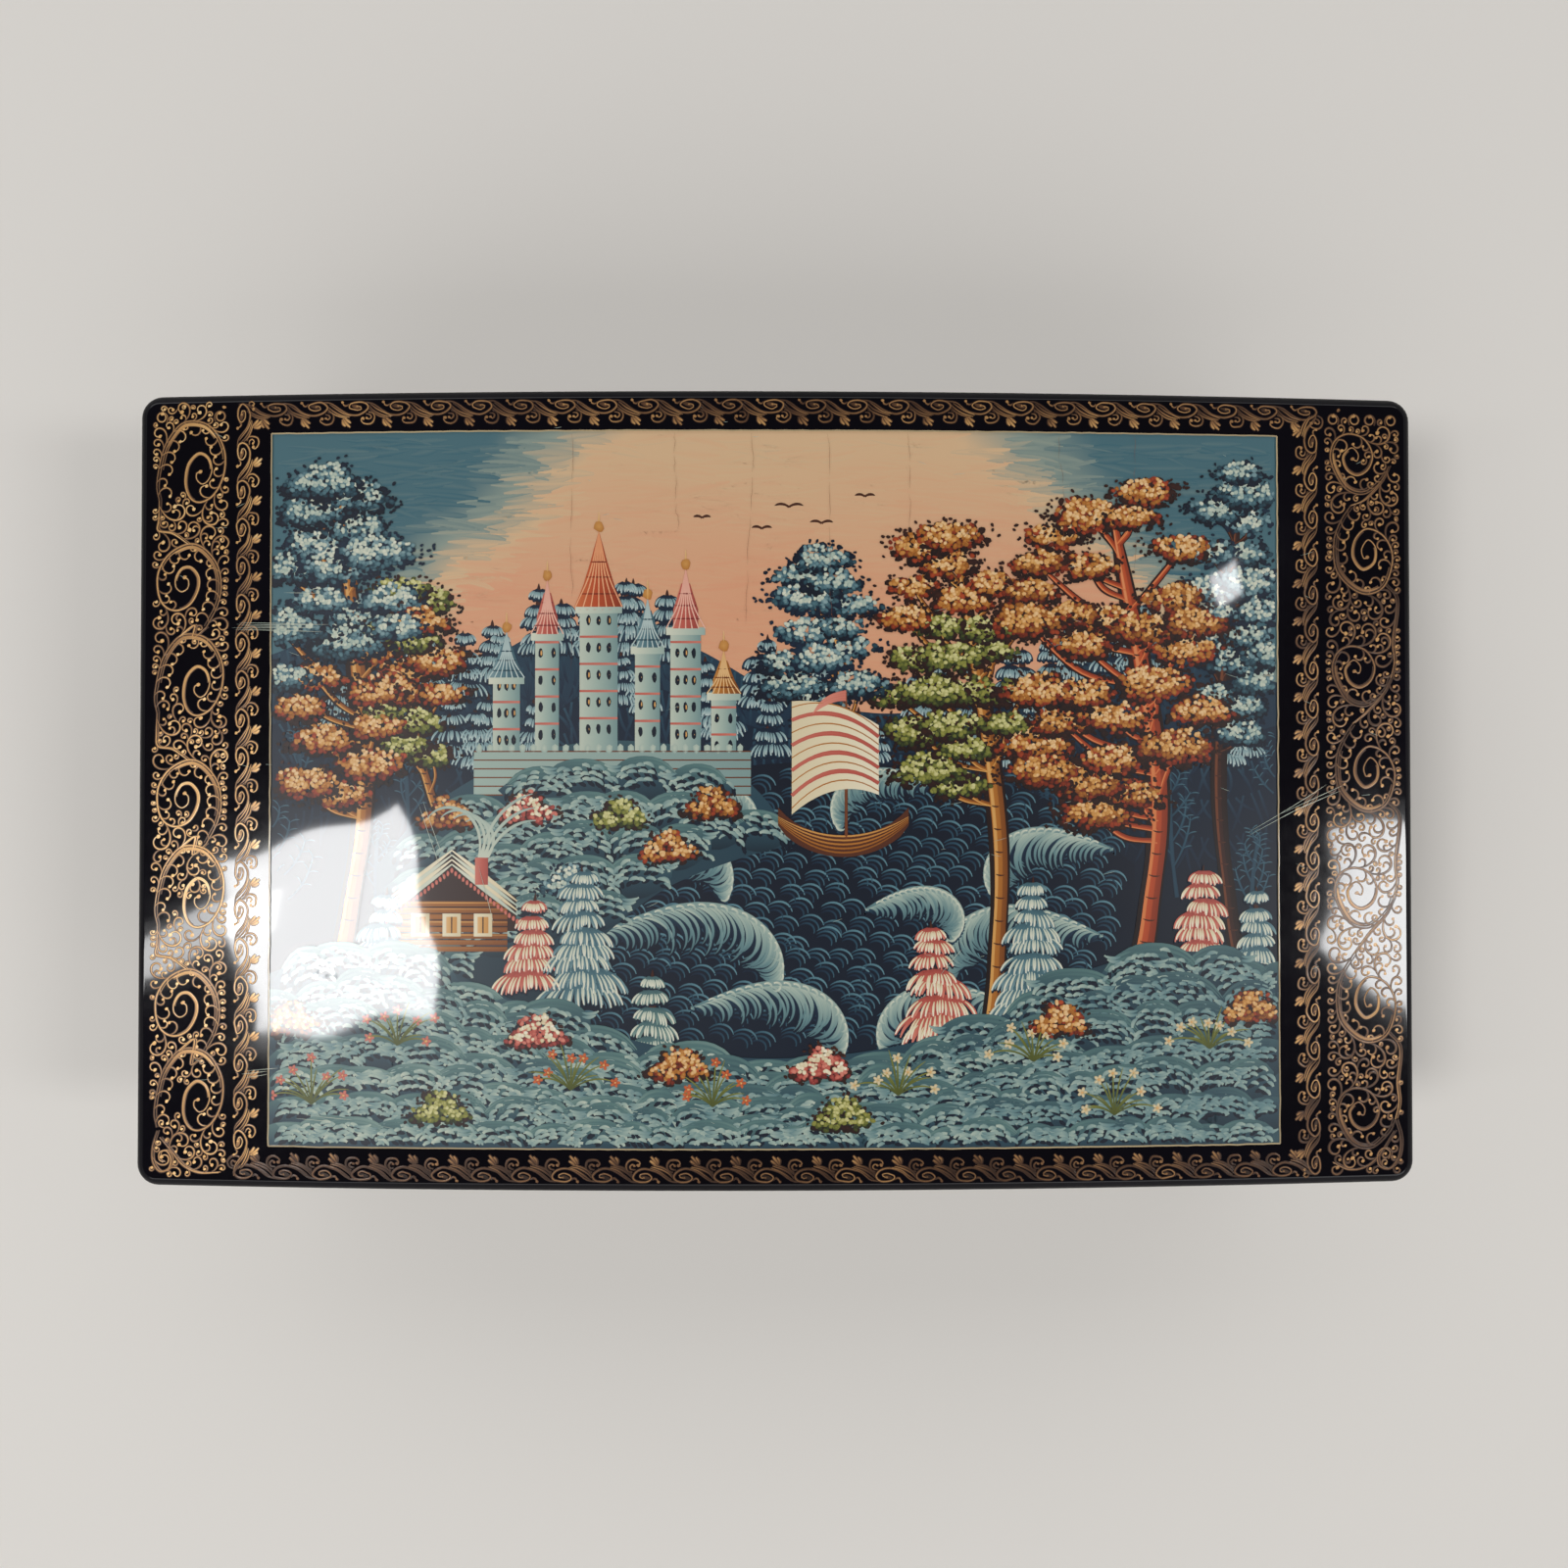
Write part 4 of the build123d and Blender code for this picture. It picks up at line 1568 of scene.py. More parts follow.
            reach = (half + 1.0) * (1 - share**0.8)
            course = join(np.linspace(x - reach, x + reach, 7), top + 0.6 + roof * share)
            self.stroke(course - (0, 0.4), 0.3, pigment, (0.3, 0.2), (0.8, 0.8))
        self.dabs(apex + (0, 0.9), 2.1, 1.8, UP, Mix.OCHRE, 0.66, sides=10)
        self.stroke(np.linspace(apex, apex + (0, 3.6), 6), 0.34, Mix.OCHRE, (0.7, 0.9), (0.8, 0.4))

    def _wall(self, left: float, right: float, y: float, height: float) -> None:
        """Paint the town wall with its courses and merlons.

        Args:
            left: Left end.
            right: Right end.
            y: Its foot.
            height: Its height.
        """
        self._block((left + right) / 2, y, right - left, height, Mix.PALE, (0.5, 0.34))
        self.level += 2
        for course in np.arange(0.0, height + 0.1, 1.6):
            path = join(np.linspace(left, right, 34), y + course)
            self.stroke(path, 0.24, Mix.UMBER, (0.78, 0.7), (1.0, 1.0))
        teeth = join(np.arange(left + 1, right, 2.0), y + height + 0.5)
        self.dabs(teeth, 1.8, 1.25, UP, Mix.PALE, 0.6, sides=6)

    def boat(self, x: float, y: float) -> None:
        """Paint a small sailing boat.

        Args:
            x: Middle of the hull.
            y: Its waterline.
        """
        bow, masthead = 12, y + 27
        columns = self._columns(x - bow, x + bow)
        t = (columns - x) / bow
        keel = y - 3.4 * (1 - t**2) ** 0.6 + 2.4 * t**2
        rail = y + 0.6 + 3.6 * t**2 + 1.5 * np.abs(t) ** 5
        self.at(150.0).wash(columns, keel, rail, Mix.UMBER, blend(0.62), 3)
        self.level = 153.0
        for k in range(5):
            plank = join(columns, y + 0.4 - 0.75 * k * (1 - t**2) + (3.6 - 0.25 * k) * t**2)
            self.stroke(plank, 0.34, Mix.OCHRE, (0.7 - 0.07 * k, 0.62 - 0.07 * k))
        mast = join(x + 0.5, np.linspace(y, masthead, 18))
        self.stroke(mast, 0.6, Mix.UMBER, (0.75, 0.8), (1, 0.5))
        columns = self._columns(x - 9.5, x + 6.5)
        t = (columns - x + 1.5) / 8
        high = y + 24.5 - 2.2 * t - 1.5 * t**2
        low = y + 6.2 + 1.8 * t + 2.6 * (1 - t**2)
        self.at(156.0).wash(columns, low, high, Mix.CREAM, blend(0.66, (x - 9.5, 0), 0.01), 4)
        self.level = 159.0
        for k in range(9):
            s = (k + 0.5) / 9
            seam = join(columns, low + (high - low) * s + 0.9 * (1 - t**2))
            pigment = Mix.CORAL if k % 2 else Mix.OCHRE
            self.stroke(seam, 0.85 if k % 2 else 0.25, pigment, (0.55, 0.45), (0.8, 0.8))
        start = join(x + 0.5, masthead - 0.5 * np.arange(4))
        pennant = scrolls(start, np.pi + np.array([0.1, 0.05, 0, -0.05]), 7.0, 0.9, 1.0, 10)
        self.strokes(pennant, 0.6, Mix.CORAL, (0.6, 0.75), (0.9, 0.2))

    def cottage(self, x: float, y: float) -> None:
        """Paint a log cottage with carved boards and smoke.

        Args:
            x: Middle of the front.
            y: Its foot.
        """
        width, height, roof = 19.0, 9.5, 8.5
        half = width / 2
        columns = self._columns(x - half - 2.4, x + half + 2.4)
        away = np.abs(columns - x) / (half + 2.4)
        high = y + height + roof * (1 - away) + 0.7
        self.at(142.0).wash(columns, y + 4.0, high, Mix.UMBER, blend(0.4))
        self.level = 144.0
        for k in range(8):
            log = join(np.linspace(x - half - 0.8, x + half + 0.8, 16), y + 0.7 + 1.18 * k)
            self.stroke(log, 0.95, Mix.OCHRE, (0.5, 0.3), (1.0, 1.0))
            self.stroke(log + (0, 0.22), 0.24, Mix.OCHRE, (0.85, 0.6), (0.6, 0.6))
        self.level = 150.0
        t = np.linspace(0, 1, 18)[:, None]
        ridge = np.array([x, y + height + roof + 0.8])
        for side in (-1, 1):
            eave = np.array([x + side * (half + 2.6), y + height])
            slope = ridge * (1 - t) + eave * t
            for k in range(4):
                self.stroke(slope - (0, 0.85 * k), 0.75, (Mix.CREAM, Mix.PALE)[k % 2], (0.82, 0.62))
            self.dabs(slope - (0, 3.7), 1.0, 0.6, -UP, Mix.CORAL, 0.62)
        for dx in (-5.8, 0.0, 5.8):
            self.at(150.0)._block(x + dx, y + 3.0, 3.4, 4.2, Mix.CREAM, (0.8, 0.62))
            self.at(152.0)._block(x + dx, y + 3.6, 2.0, 3.0, Mix.OCHRE, (0.85, 0.65))
            bar = join(x + dx, np.linspace(y + 3.6, y + 6.6, 5))
            self.at(154.0).stroke(bar, 0.25, Mix.UMBER, (0.5, 0.5), (1, 1))
        self._block(x + 5.5, y + height + 3.0, 2.4, 5.0, Mix.CORAL, (0.62, 0.4))
        for k in range(7):
            start = (x + 5.0 + 0.28 * k, y + height + 8.0)
            smoke = scrolls(start, 1.4 - 0.06 * k, 17 - k, (-1) ** k * 1.9 + 0.8, 1.4, 26)
            self.strokes(smoke, 0.6, Mix.PALE, (0.7, 0.45), (0.7, 0.3))

    def _hillock(self, spot: Pair, width: float, height: float, side: int, light: float) -> None:
        """Paint a hillock: dark body, combed strokes, a curled edge and dabs along its crest.

        Args:
            spot: Middle of its foot.
            width: Its width.
            height: Its height.
            side: 1 where its combs fall to the right, -1 to the left.
            light: How light it is, from 0 to 1.
        """
        rng = self.rng
        x0, y0, x1, _ = self.within
        back = np.pi if side > 0 else 0
        columns = self._columns(max(spot[0] - width / 2, x0), min(spot[0] + width / 2, x1))
        t = (columns - spot[0]) / (width / 2)
        swell = height * np.clip(1 - np.abs(t + 0.15 * side) ** 2.4, 0, 1) ** 0.7
        high = np.maximum(spot[1] + swell, y0 + 0.3)
        low = np.maximum(np.minimum(spot[1] - 4.0 * (1 - t**2), high - 0.1), y0)
        level = self.level
        rate = 0.58 * light / (height + 4)
        self.wash(columns, low, high, Mix.MOUND, blend(0.05, (0, spot[1] - 4), up=rate), 4)
        crest = even(join(columns, high)[1:-1], max(int(width / 1.5), 5))
        slope = np.arctan(np.interp(crest[:, 0], columns, np.gradient(high, columns)))
        flow = even(crest if side > 0 else crest[::-1], 18)
        for row in range(4):
            sag = (0.35 + row * height * 0.15) * np.sin(np.pi * np.linspace(0.12, 0.96, 18)) ** 0.5
            bent = flow * (1 - 0.05 * row) + 0.05 * row * flow.mean(axis=0) - join(0, sag)
            tone = (0.72 - 0.055 * row) * light
            self.at(level + 1.5 + 0.3 * row).stroke(bent, 0.62, Mix.MOUND, (tone * 0.8, tone + 0.05), (0.2, 0.2))
        for row, drop in enumerate((0.34, 0.62, 0.9)):
            start = row % 2
            lips = crest[start:] + rng.normal(0, 0.28, crest[start:].shape) - (0, height * drop + 0.4)
            many = len(lips)
            lean = slope[start:] - side * 0.5 + rng.normal(0, 0.12, many)
            self.at(level + 4.5 + 0.5 * row).dabs(lips - (0, 0.55), 1.7, 0.8, lean, Mix.NIGHT, 0.3)
            hooks = scrolls(lips, lean + back, rng.uniform(1.4, 2.3, many), side * 1.3, 1.2, 8)
            tone = rng.uniform(0.56, 0.84, many) * light
            self.at(level + 6 + 0.5 * row).strokes(hooks, 0.72, Mix.PALE, join(tone * 0.6, tone), (0.3, 0.7))
        ends = np.tile(crest[0 if side > 0 else -1] - (0, 0.3) - (0, 0.5), (2, 1))
        edge = scrolls(ends, back + 0.3 * side, [3.2, 2.6], -side * 0.9, 1.3, 12) - [[[0, 0]], [[0, 0.7]]]
        self.at(level + 8).strokes(edge, 0.62, Mix.PALE, (0.3 * light, 0.66 * light), (0.2, 0.5))
        self.level = level

    def foreground(self) -> None:
        """Paint the rows of curled hillocks along the lower edge, with what grows on them."""
        rng = self.rng
        x0, y0, x1, _ = self.within
        shore = ((x0, -34), (-80, -29), (-66, -31), (-50, -38), (-30, -45), (-8, -49), (16, -48), (40, -42), (58, -33),
                 (76, -30), (x1, -33))
        self.at(156.0)._land(shore, ((x0, y0), (x1, y0)), Mix.MOUND, (0.3, 0.16))
        line = smooth(shore, 1.0)
        for row in range(7):
            self.level = 158.0 + 8 * row
            share = row / 6
            x = x0 + rng.uniform(1, 7)
            while x < x1:
                width = rng.uniform(10, 19) * (1 - 0.2 * share)
                base = float(np.interp(x, *line.T))
                y = base * (1 - share) + (y0 + 1.5) * share - 4.0 * (1 - share)
                height = rng.uniform(3.6, 6.8) * (1 - 0.35 * share)
                # Painted shade: the hillocks grow darker towards the right-hand side of the picture.
                light = (rng.uniform(0.8, 1.0) - 0.12 * (row % 2)) * (0.8 - 0.0015 * x)
                self._hillock((x, y), width, height, rng.choice([-1, 1]), light)
                x += width * rng.uniform(0.45, 0.7)
        self.level = 216.0
        for x, y in ((-70, -47), (-38, -55), (-12, -58), (22, -56), (47, -50), (80, -48), (62, -60), (-86, -58)):
            self._flowers((x, y))
        for x, y, leaf in ((-90, -44, Leaf.EMBER), (-44, -46, Leaf.ROSE), (-18, -52, Leaf.AUTUMN), (8, -52, Leaf.ROSE),
                           (52, -44, Leaf.AUTUMN), (88, -42, Leaf.EMBER), (-62, -60, Leaf.MOSS), (12, -61, Leaf.MOSS)):
            self._bush(x, y, leaf, 214.0, 6.0, 6.4)

    def _bush(self, x: float, y: float, leaf: Leaf, level: float, low: float, high: float) -> None:
        """Paint a bush of two low clumps and a high one."""
        for dx, dy, size in ((-2.6, 0, low), (2.4, 0.3, low), (0, 2.4, high)):
            Clump((x + dx, y + dy), (size, size * 0.72), leaf).paint(self, level + dy)

    def _flowers(self, spot: Pair) -> None:
        """Paint a tuft of grass with small flowers.

        Args:
            spot: Its foot.
        """
        rng = self.rng
        count = 13
        heading = np.linspace(2.5, 0.64, count) + rng.normal(0, 0.06, count)
        length = rng.uniform(4.5, 9, count)
        stems = scrolls(np.tile(spot, (count, 1)), heading, length, -1.1 * np.linspace(-1, 1, count), 1.4, 10)
        self.strokes(stems, 0.32, Mix.OLIVE, (0.35, 0.66), (0.9, 0.2))
        tips = stems[::2, -1]
        pigment = (Mix.CORAL, Mix.ORANGE, Mix.CREAM)[rng.integers(3)]
        for a in np.arange(5) * 2 * np.pi / 5:
            self.dabs(tips + 0.55 * np.array([math.cos(a), math.sin(a)]), 0.9, 0.6, a, pigment, 0.62)
        self.dabs(tips, 0.6, 0.5, 0, Mix.OCHRE, 0.85)

    def trees(self) -> list[tuple[Tree, float]]:
        """The large trees and the levels of their lowest layers.

        Returns:
            Trees from the back to the front.
        """
        autumn, ember, frost, moss, _, mist = Leaf
        ochre, umber, orange = Mix.OCHRE, Mix.UMBER, Mix.ORANGE
        return [
            (Tree((10, 5), (8, 28), (9, 16), 2.5, 1.8, (frost, mist, frost), 14, ochre, 9.5), 60.0),
            (Tree((-62, -6), (-67, 21), (8, 17), -3, 1.8, (moss, autumn, moss), 14, ochre, 9.0), 60.0),
            (Tree((39, -45), (33, 25), (13, 25), 4, 3.2, (moss, moss, autumn), 23, ochre, 10.0), 86.0),
            (Tree((86, -34), (86, 33), (7, 26), -4, 2.6, (frost, mist, frost), 18, umber, 10.0), 60.0),
            (Tree((66, -36), (62, 25), (18, 33), 6, 3.8, (ember, autumn, ember, autumn), 29, orange, 11.5), 96.0),
            (Tree((-82, -36), (-81, 27), (12, 32), 5, 3.6, (autumn, frost, mist, frost), 23, ochre, 11.5), 86.0),
        ]

    def finish(self, paint: Material) -> None:
        """Paint the whole field, piece by piece.

        Args:
            paint: The tempera's material.
        """
        self.sky()
        self.build("painted_sky", paint, sleek=True)
        self.far_land()
        self.lake()
        self.build("painted_hills_and_lake", paint, sleek=True)
        self.town()
        self.boat(12.0, -9.0)
        self.cottage(-60.0, -30.0)
        self.build("painted_town_and_boat", paint, sleek=True)
        trees = self.trees()
        for number in range(0, len(trees), 2):
            for tree, level in trees[number : number + 2]:
                tree.paint(self, level)
            self.build(f"painted_trees_{number // 2 + 1}", paint, sleek=True)
        firs = (
            Fir((-36, -38), 24, 15), Fir((-46, -36), 17, 11, Mix.CORAL, Mix.CREAM, 1.5),
            Fir((30, -46), 22, 15, Mix.CORAL, Mix.CREAM, -2), Fir((47, -44), 28, 16),
            Fir((-73, -38), 20, 12, lean=1), Fir((77, -38), 24, 14, Mix.CORAL, Mix.CREAM, 2),
            Fir((89, -40), 22, 11), Fir((-23, -48), 15, 10, Mix.MOUND),
        )
        for fir in firs:
            fir.paint(self, 140.0)
        self.foreground()
        self.build("painted_foreground", paint, sleek=True)


# Wear


@dataclass
class Wear:
    """Fine marks of age on the lid: hairline cracks and bundles of pale scratches.

    Attributes:
        bundles: Start, length, direction in radians, number and spacing of the scratches of each bundle.
        cracks: Places of the cracks along the upper edge of the picture.
        edge: Height of that edge in the picture.
        tall: Height of the layers of paint that the marks lie above, in microns.
    """

    bundles: Sequence[tuple[float, float, float, float, int, float]] = (
        (-100.5, 31.0, 17.5, -0.02, 5, 0.32), (-92.0, 36.5, 7.0, -0.03, 1, 0.3), (88.0, -8.0, 19.0, 0.5, 2, 0.5),
        (94.0, -4.5, 16.0, 0.42, 2, 0.4), (-66.0, -2.0, 16.0, -1.25, 2, 0.7), (-56.0, -14.0, 13.0, -1.3, 1, 0.5),
        (-88.0, -60.0, 9.0, -0.1, 2, 0.6), (-99.0, -52.0, 6.0, 0.1, 3, 0.6), (30.0, -34.0, 8.0, 0.9, 1, 0.5),
    )
    cracks: Sequence[float] = (-38, -19, -5, 9, 24, 52, 66)
    edge: float = 65.6
    tall: float = 262.0

    def build(self, ground: Ground, rng: Chance, paint: Material) -> None:
        """Lay the marks.

        Args:
            ground: The lid's top.
            rng: Chance in the marks.
            paint: Material that takes its colour from the palette.
        """
        brush = Brush(ground, rng, self.tall)
        for x, y, length, heading, count, gap in self.bundles:
            start = join(x + rng.uniform(-1, 1, count), y - np.arange(count) * gap)
            lines = scrolls(start, heading, length * rng.uniform(0.6, 1.0, count), rng.normal(0, 0.05, count), 1.0, 24)
            brush.strokes(lines, 0.09, Mix.PALE, (0.5, 0.8), (0.2, 0.1))
        for x in self.cracks:
            wander = np.cumsum(rng.normal(0, 0.1, 40))
            path = join(x + wander, np.linspace(self.edge, self.edge - rng.uniform(18, 46), 40))
            for part in np.split(path, (9, 17, 28)):
                brush.stroke(part, 0.05, Mix.UMBER, (0.86, 0.7), (0.3, 0.1))
        spots = join(rng.uniform(-112, 112, 90), rng.uniform(-68, 68, 90))
        flecks = scrolls(spots, rng.uniform(-0.5, 0.4, 90), rng.uniform(0.6, 2.6, 90), 0.1, 1.0, 5)
        brush.strokes(flecks, 0.06, Mix.PALE, (0.4, 0.7), (0.2, 0.1))
        brush.build("lid_wear", paint)


# Walls


@dataclass
class WallOrnament:
    """Gold lines and a running scroll round the walls of the body and the rim of the lid.

    Attributes:
        half: Half length and half depth of the walls in millimetres.
        inset: Distance kept from the corners.
        pitch: Length of one scroll.
        weight: Width of the main lines.
        tone: Place of the gold on its palette.
        lines: Height of each line and its width against the main lines, those at the foot first.
        scroll: Height of the running scroll.
    """

    half: Pair
    inset: float = 5.0
    pitch: float = 7.2
    weight: float = 0.3
    tone: float = 0.5
    lines: Sequence[Pair] = ((7.6, 1.0), (8.7, 0.6), (38.6, 1.0), (31.4, 1.0), (32.3, 0.6))
    scroll: float = 35.2

    def faces(self) -> list[tuple[str, WallFace, float]]:
        """The four walls.

        Returns:
            A name, the face and half its length for the front, the right side, the back and the left side.
        """
        x, y = self.half
        sides = (("front", 0.0, -1.0), ("right", 1.0, 0.0), ("back", 0.0, 1.0), ("left", -1.0, 0.0))
        return [
            (name, WallFace((u * x, v * y, 0.0), (-v, u, 0.0), (u, v, 0.0)), (x if v else y) - self.inset)
            for name, u, v in sides
        ]

    def build(self, rng: Chance, gold: Material) -> None:
        """Draw the lines and scrolls.

        Args:
            rng: Chance in the hand.
            gold: The gold's material.
        """
        for name, face, reach in self.faces():
            brush = Brush(face, rng)
            plain = name == "back"
            for z, share in self.lines[: 2 if plain else None]:
                brush.gild(join(np.linspace(-reach, reach, 60), z), self.weight * share, self.tone)
            if not plain:
                self._scroll(brush, reach, self.scroll)
            brush.build(f"{name}_wall_gold", gold, "body")

    def _scroll(self, brush: Brush, reach: float, z: float) -> None:
        """Draw a running wave of scrolls whose curls take turns above and below.

        Args:
            brush: Brush on a wall.
            reach: Half its length in millimetres.
            z: Its height.
        """
        count = int(2 * reach / self.pitch)
        x = (np.arange(count) + 0.5) / count * 2 * reach - reach
        wave = np.linspace(-reach, reach, 12 * count)
        phase = (wave + reach) / (2 * reach) * count * np.pi
        brush.gild(join(wave, z + 1.5 * np.sin(phase)), self.weight, self.tone, (1.0, 1.0))
        for way in (1.0, -1.0):
            some = x[0::2] if way > 0 else x[1::2]
            foot = join(some - 2.6, z + 0.9 * way)
            brush.gild(scrolls(foot, -0.25 * way, 7.6, 6.4 * way, 1.5, 26), 0.26, self.tone)
            brush.gild(scrolls(foot + (3.4, 0), -0.6 * way, 4.2, -4.4 * way, 1.6, 18), 0.22, self.tone - 0.08)
            balls = join(some + 3.3, z - 1.7 * way)
            brush.dabs(balls, 0.8, 0.62, 0.4, Mix.GOLD, self.tone + 0.1, rise=14.0)


# Studio


@dataclass(frozen=True)
class Softbox:
    """One rectangular lamp that faces the box, in metres and watts."""

    name: str
    place: tuple[float, float, float]
    size: Pair
    power: float

    def hang(self) -> None:
        """Hang the lamp."""
        lamp = bpy.data.lights.new(self.name, "AREA")
        lamp.shape = "RECTANGLE"
        lamp.size, lamp.size_y = self.size
        lamp.energy = self.power
        box = bpy.data.objects.new(self.name, lamp)
        box.location = self.place
        box.rotation_euler = (Vector((0, 0, 0.05)) - Vector(self.place)).to_track_quat("-Z", "Y").to_euler()
        bpy.context.scene.collection.objects.link(box)


@dataclass
class Studio:
    """Floor, soft lights and the camera straight above the lid.

    Attributes:
        lens: Focal length of a small camera, in 35 mm terms.
        height: Height of the camera above the floor in metres.
        tilt: Lean of the camera about X and Y in degrees.
        shift: Sideways shift of the picture, as a share of its width.
        floor_half: Half the width of the floor in metres.
        horizon: Brightness of the pale walls round the floor.
        lamps: Softboxes beside the lid's mirror image of the camera, and panes of windows within it.
    """

    lens: float = 26.0
    height: float = 0.2676
    tilt: Pair = (-0.62, 0.48)
    shift: Pair = (-0.0023, -0.0043)
    floor_half: float = 1.4
    horizon: float = 0.45
    lamps: Sequence[Softbox] = (
        Softbox("front_softbox", (0.1, -1.6, 1.25), (4.0, 1.3), 19.0),
        Softbox("back_softbox", (-0.1, 1.6, 1.25), (4.0, 1.3), 14.0),
        Softbox("left_window", (-0.675, -0.165, 1.2), (0.25, 0.24), 4.4),
        Softbox("left_outer_pane", (-0.985, -0.2, 1.2), (0.07, 0.44), 1.2),
        Softbox("right_window", (1.06, -0.17, 1.2), (0.2, 0.38), 4.4),
        Softbox("high_window", (0.678, 0.255, 1.2), (0.055, 0.05), 0.17),
    )

    def build(self) -> None:
        """Set the floor, the lights, the world and the camera."""
        h = self.floor_half
        mesh = bpy.data.meshes.new("floor")
        mesh.from_pydata([(-h, -h, 0), (h, -h, 0), (h, h, 0), (-h, h, 0)], [], [(0, 1, 2, 3)])
        mesh.materials.append(FloorFinish().material())
        floor = bpy.data.objects.new("floor", mesh)
        bpy.context.scene.collection.objects.link(floor)
        for lamp in self.lamps:
            lamp.hang()
        self._world()
        self._camera()

    def _world(self) -> None:
        """Make the surroundings: pale walls and a dim ceiling."""
        world = bpy.data.worlds.new("surroundings")
        bpy.context.scene.world = world
        world.use_nodes = True
        tree = world.node_tree
        up = tree.nodes.new("ShaderNodeSeparateXYZ")
        ramp = tree.nodes.new("ShaderNodeValToRGB")
        wall, ceiling = ramp.color_ramp.elements
        wall.position, wall.color = 0.3, (self.horizon, self.horizon, self.horizon, 1)
        ceiling.position, ceiling.color = 0.7, (0.03, 0.03, 0.033, 1)
        tree.links.new(tree.nodes.new("ShaderNodeTexCoord").outputs["Generated"], up.inputs[0])
        tree.links.new(up.outputs[2], ramp.inputs[0])
        tree.links.new(ramp.outputs[0], tree.nodes["Background"].inputs[0])

    def _camera(self) -> None:
        """Set the camera above the lid."""
        data = bpy.data.cameras.new("camera")
        data.lens = self.lens
        data.shift_x, data.shift_y = self.shift
        data.clip_start = 0.01
        camera = bpy.data.objects.new("camera", data)
        camera.location = (0, 0, self.height)
        camera.rotation_euler = [math.radians(-angle) for angle in self.tilt] + [0.0]
        bpy.context.scene.collection.objects.link(camera)
        bpy.context.scene.camera = camera
        bpy.context.scene.view_settings.view_transform = "Standard"


# Lid panel


@dataclass
class LidPanel:
    """The arched panel of the lid, as one smooth skin of nested rings.

    Attributes:
        rise: Rise of the arch in millimetres.
        thickness: Thickness of the panel.
        corner: Corner radius in plan.
        top_round: Radius of the rounded upper edge.
        under_chamfer: Bevel of the lower edge.
        steps: Divisions of the long and the short sides of a ring.
        corner_steps: Divisions of a corner and of the rounded edge.
        broad_rings: Rings across each broad face.
        lap: How far the red of the underside reaches over the walls, in metres.
        node: The node that it stands for.
    """

    rise: float = 4.5
    thickness: float = 5.0
    corner: float = 4.2
    top_round: float = 2.0
    under_chamfer: float = 0.8
    steps: tuple[int, int] = (120, 48)
    corner_steps: int = 8
    broad_rings: int = 44
    lap: float = 0.002
    node: str = "lid_panel"

    def __post_init__(self) -> None:
        """Take the panel's outer sizes from the frame."""
        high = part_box(self.node)[1]
        self.half = (high.x / MM, high.y / MM)
        self.top = ArchedTop((self.half[0] ** 2 + self.rise**2) / (2 * self.rise), high.z / MM)

    def _ring(self, inset: float, drop: float, share: float = 1.0) -> Array:
        """Lay one loop of points round the panel, to the left.

        Args:
            inset: Distance from the panel's edge in millimetres.
            drop: Distance below the arched top.
            share: Size of the loop against a full one.

        Returns:
            Points in millimetres.
        """
        a, b = self.half[0] - self.corner, self.half[1] - self.corner
        middles = np.array([(a, -b), (a, b), (-a, b), (-a, -b)])
        turn = np.linspace(0, UP, self.corner_steps + 1)
        parts = []
        for quarter, middle in enumerate(middles):
            angle = turn + (quarter - 1) * UP
            arc = join(np.cos(angle), np.sin(angle)) * (self.corner - inset)
            side = np.linspace(middle, middles[(quarter + 1) % 4], self.steps[(quarter + 1) % 2] + 1) + arc[-1]
            parts += [arc + middle, side[1:-1]]
        flat = np.concatenate(parts) * share
        return np.column_stack([flat, self.top.heights(flat[:, 0]) - drop])

    def _rings(self) -> list[Array]:
        """All rings from the middle of the top over the edge to the middle of the underside.

        Returns:
            One array of points for each ring.
        """
        shares = np.linspace(0, 1, self.broad_rings + 1)[1:]
        turns = np.linspace(0, UP, self.corner_steps + 1)[1:]
        r, full, cut = self.top_round, self.thickness, self.under_chamfer
        rings = [self._ring(r, 0.0, share) for share in shares]
        rings += [self._ring(r * (1 - math.sin(t)), r * (1 - math.cos(t))) for t in turns]
        return rings + [self._ring(0.0, full - cut)] + [self._ring(cut, full, share) for share in shares[::-1]]

    def build(self, *lacquers: Material) -> None:
        """Build the skin and let it stand for the panel.

        Args:
            *lacquers: Lacquer of the outside, of the underside within the rim, and of the handled edge.
        """
        rings = self._rings()
        points = np.concatenate(rings)
        around = len(rings[0])
        here = np.arange(around)
        ahead = np.roll(here, -1)
        quads = np.column_stack([here, here + around, ahead + around, ahead])
        faces = [quad for k in range(len(rings) - 1) for quad in (quads + k * around).tolist()]
        faces += [here.tolist(), (here[::-1] + (len(rings) - 1) * around).tolist()]
        mesh = bpy.data.meshes.new("lid_panel_skin")
        mesh.from_pydata((points * MM).tolist(), [], faces)
        piece = add_piece("lid_panel_skin", mesh, lacquers, "lid")
        mesh.update()
        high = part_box("inner_liner")[1]
        middles = np.zeros(len(mesh.polygons) * 3)
        mesh.polygons.foreach_get("center", middles)
        x, y, z = middles.reshape(-1, 3).T
        red = (np.abs(x) < high.x + self.lap) & (np.abs(y) < high.y + self.lap)
        red &= z < (self.top.heights(x / MM) - self.thickness / 2) * MM
        upper = self.broad_rings * around
        index = red.astype(np.int32)
        index[upper : upper + (self.corner_steps + 1) * around] = 2
        mesh.polygons.foreach_set("material_index", index)
        mesh.shade_smooth()
        mesh.set_sharp_from_angle(angle=math.radians(30))
        normals = np.zeros((len(points), 3))
        normals[:upper] = self.top.normals(points[:upper, :2])
        mesh.normals_split_custom_set_from_vertices(normals)
        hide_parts(self.node)


# Body and hinges


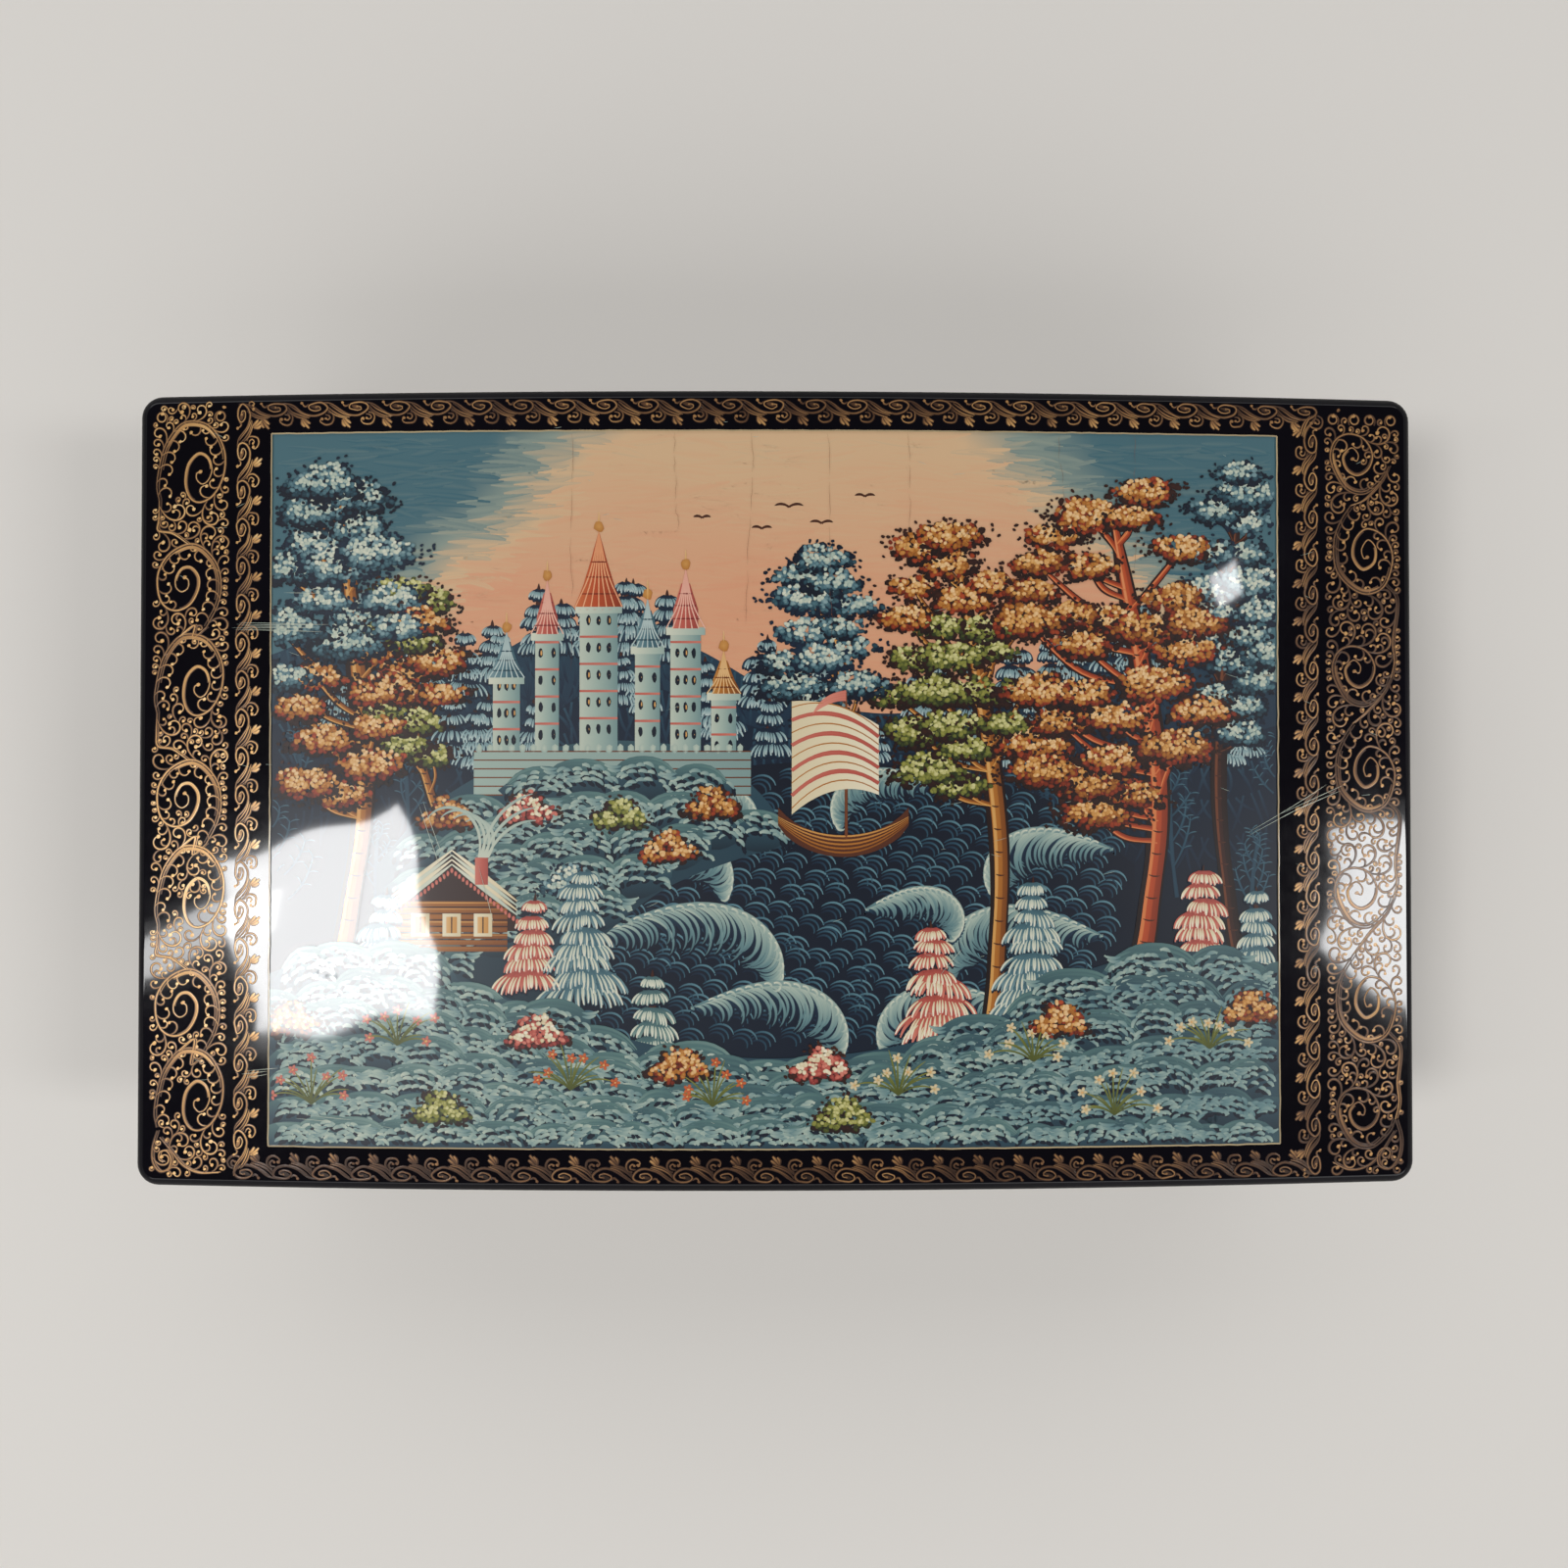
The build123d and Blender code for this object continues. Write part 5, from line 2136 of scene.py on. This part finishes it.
@dataclass(frozen=True)
class BoxBody:
    """The pieces whose shape the frame already holds, and their finishes.

    Attributes:
        black: Colours of the black lacquer, deep and worn.
        red: Colour of the red lacquer inside.
        overlap: How far the rim's red reaches past the liner, in metres.
        margin: How far the board's red ends before the liner's outside.
    """

    black: tuple[str, str] = ("0a080d", "0d0b12")
    red: str = "8e120e"
    overlap: float = 0.0002
    margin: float = 0.001

    def dress(self) -> tuple[Material, ...]:
        """Give every remaining piece its finish.

        Returns:
            The black, the red and the satin lacquer, for the lid's panel.
        """
        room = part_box("inner_liner")[1]
        rim = (room.x + self.overlap, room.y + self.overlap)
        floor = (room.x - self.margin, room.y - self.margin)
        red = LacquerFinish("red_lacquer", self.red, "7a0f0d").material()
        black = LacquerFinish("black_lacquer", *self.black).material()
        two_tone = LacquerFinish("rim_lacquer", *self.black, self.red, rim).material()
        board = LacquerFinish("board_lacquer", *self.black, self.red, floor).material()
        brass = MetalFinish("rolled_brass", "d9ab5a", "8f6a33", 0.24).material()
        steel = MetalFinish("drawn_wire", "a8a49c", "6d685f", 0.28).material()
        finishes = {"wall_ring": black, "lid_rim": two_tone, "base_board": board, "inner_liner": red}
        for node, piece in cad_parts.items():
            finish = finishes.get(node) or (steel if node.endswith("pin") else brass)
            piece.data.materials.clear()
            piece.data.materials.append(finish)
            LOG.info("%s: %s", node, finish.name)
        edge = LacquerFinish("edge_lacquer", "08060b", "100d14", least=0.4, coat=0.0).material()
        return black, red, edge


def main() -> None:
    """Build the scene piece by piece."""
    logging.basicConfig(level=logging.INFO, format="%(message)s")
    rng = np.random.default_rng(SEED)
    panel = LidPanel()
    panel.build(*BoxBody().dress())
    PaintedField(panel.top, rng).finish(PaintFinish().material())
    gold = PaintFinish("ground_gold", 0.3, 0.3, 0.1).material()
    LidOrnament().build(panel.top, rng, gold)
    Wear().build(panel.top, rng, PaintFinish("scuffed_lacquer").material())
    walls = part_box("wall_ring")[1]
    WallOrnament((walls.x / MM, walls.y / MM)).build(rng, gold)
    Studio().build()
    bpy.context.view_layer.update()


if __name__ == "__main__":
    main()
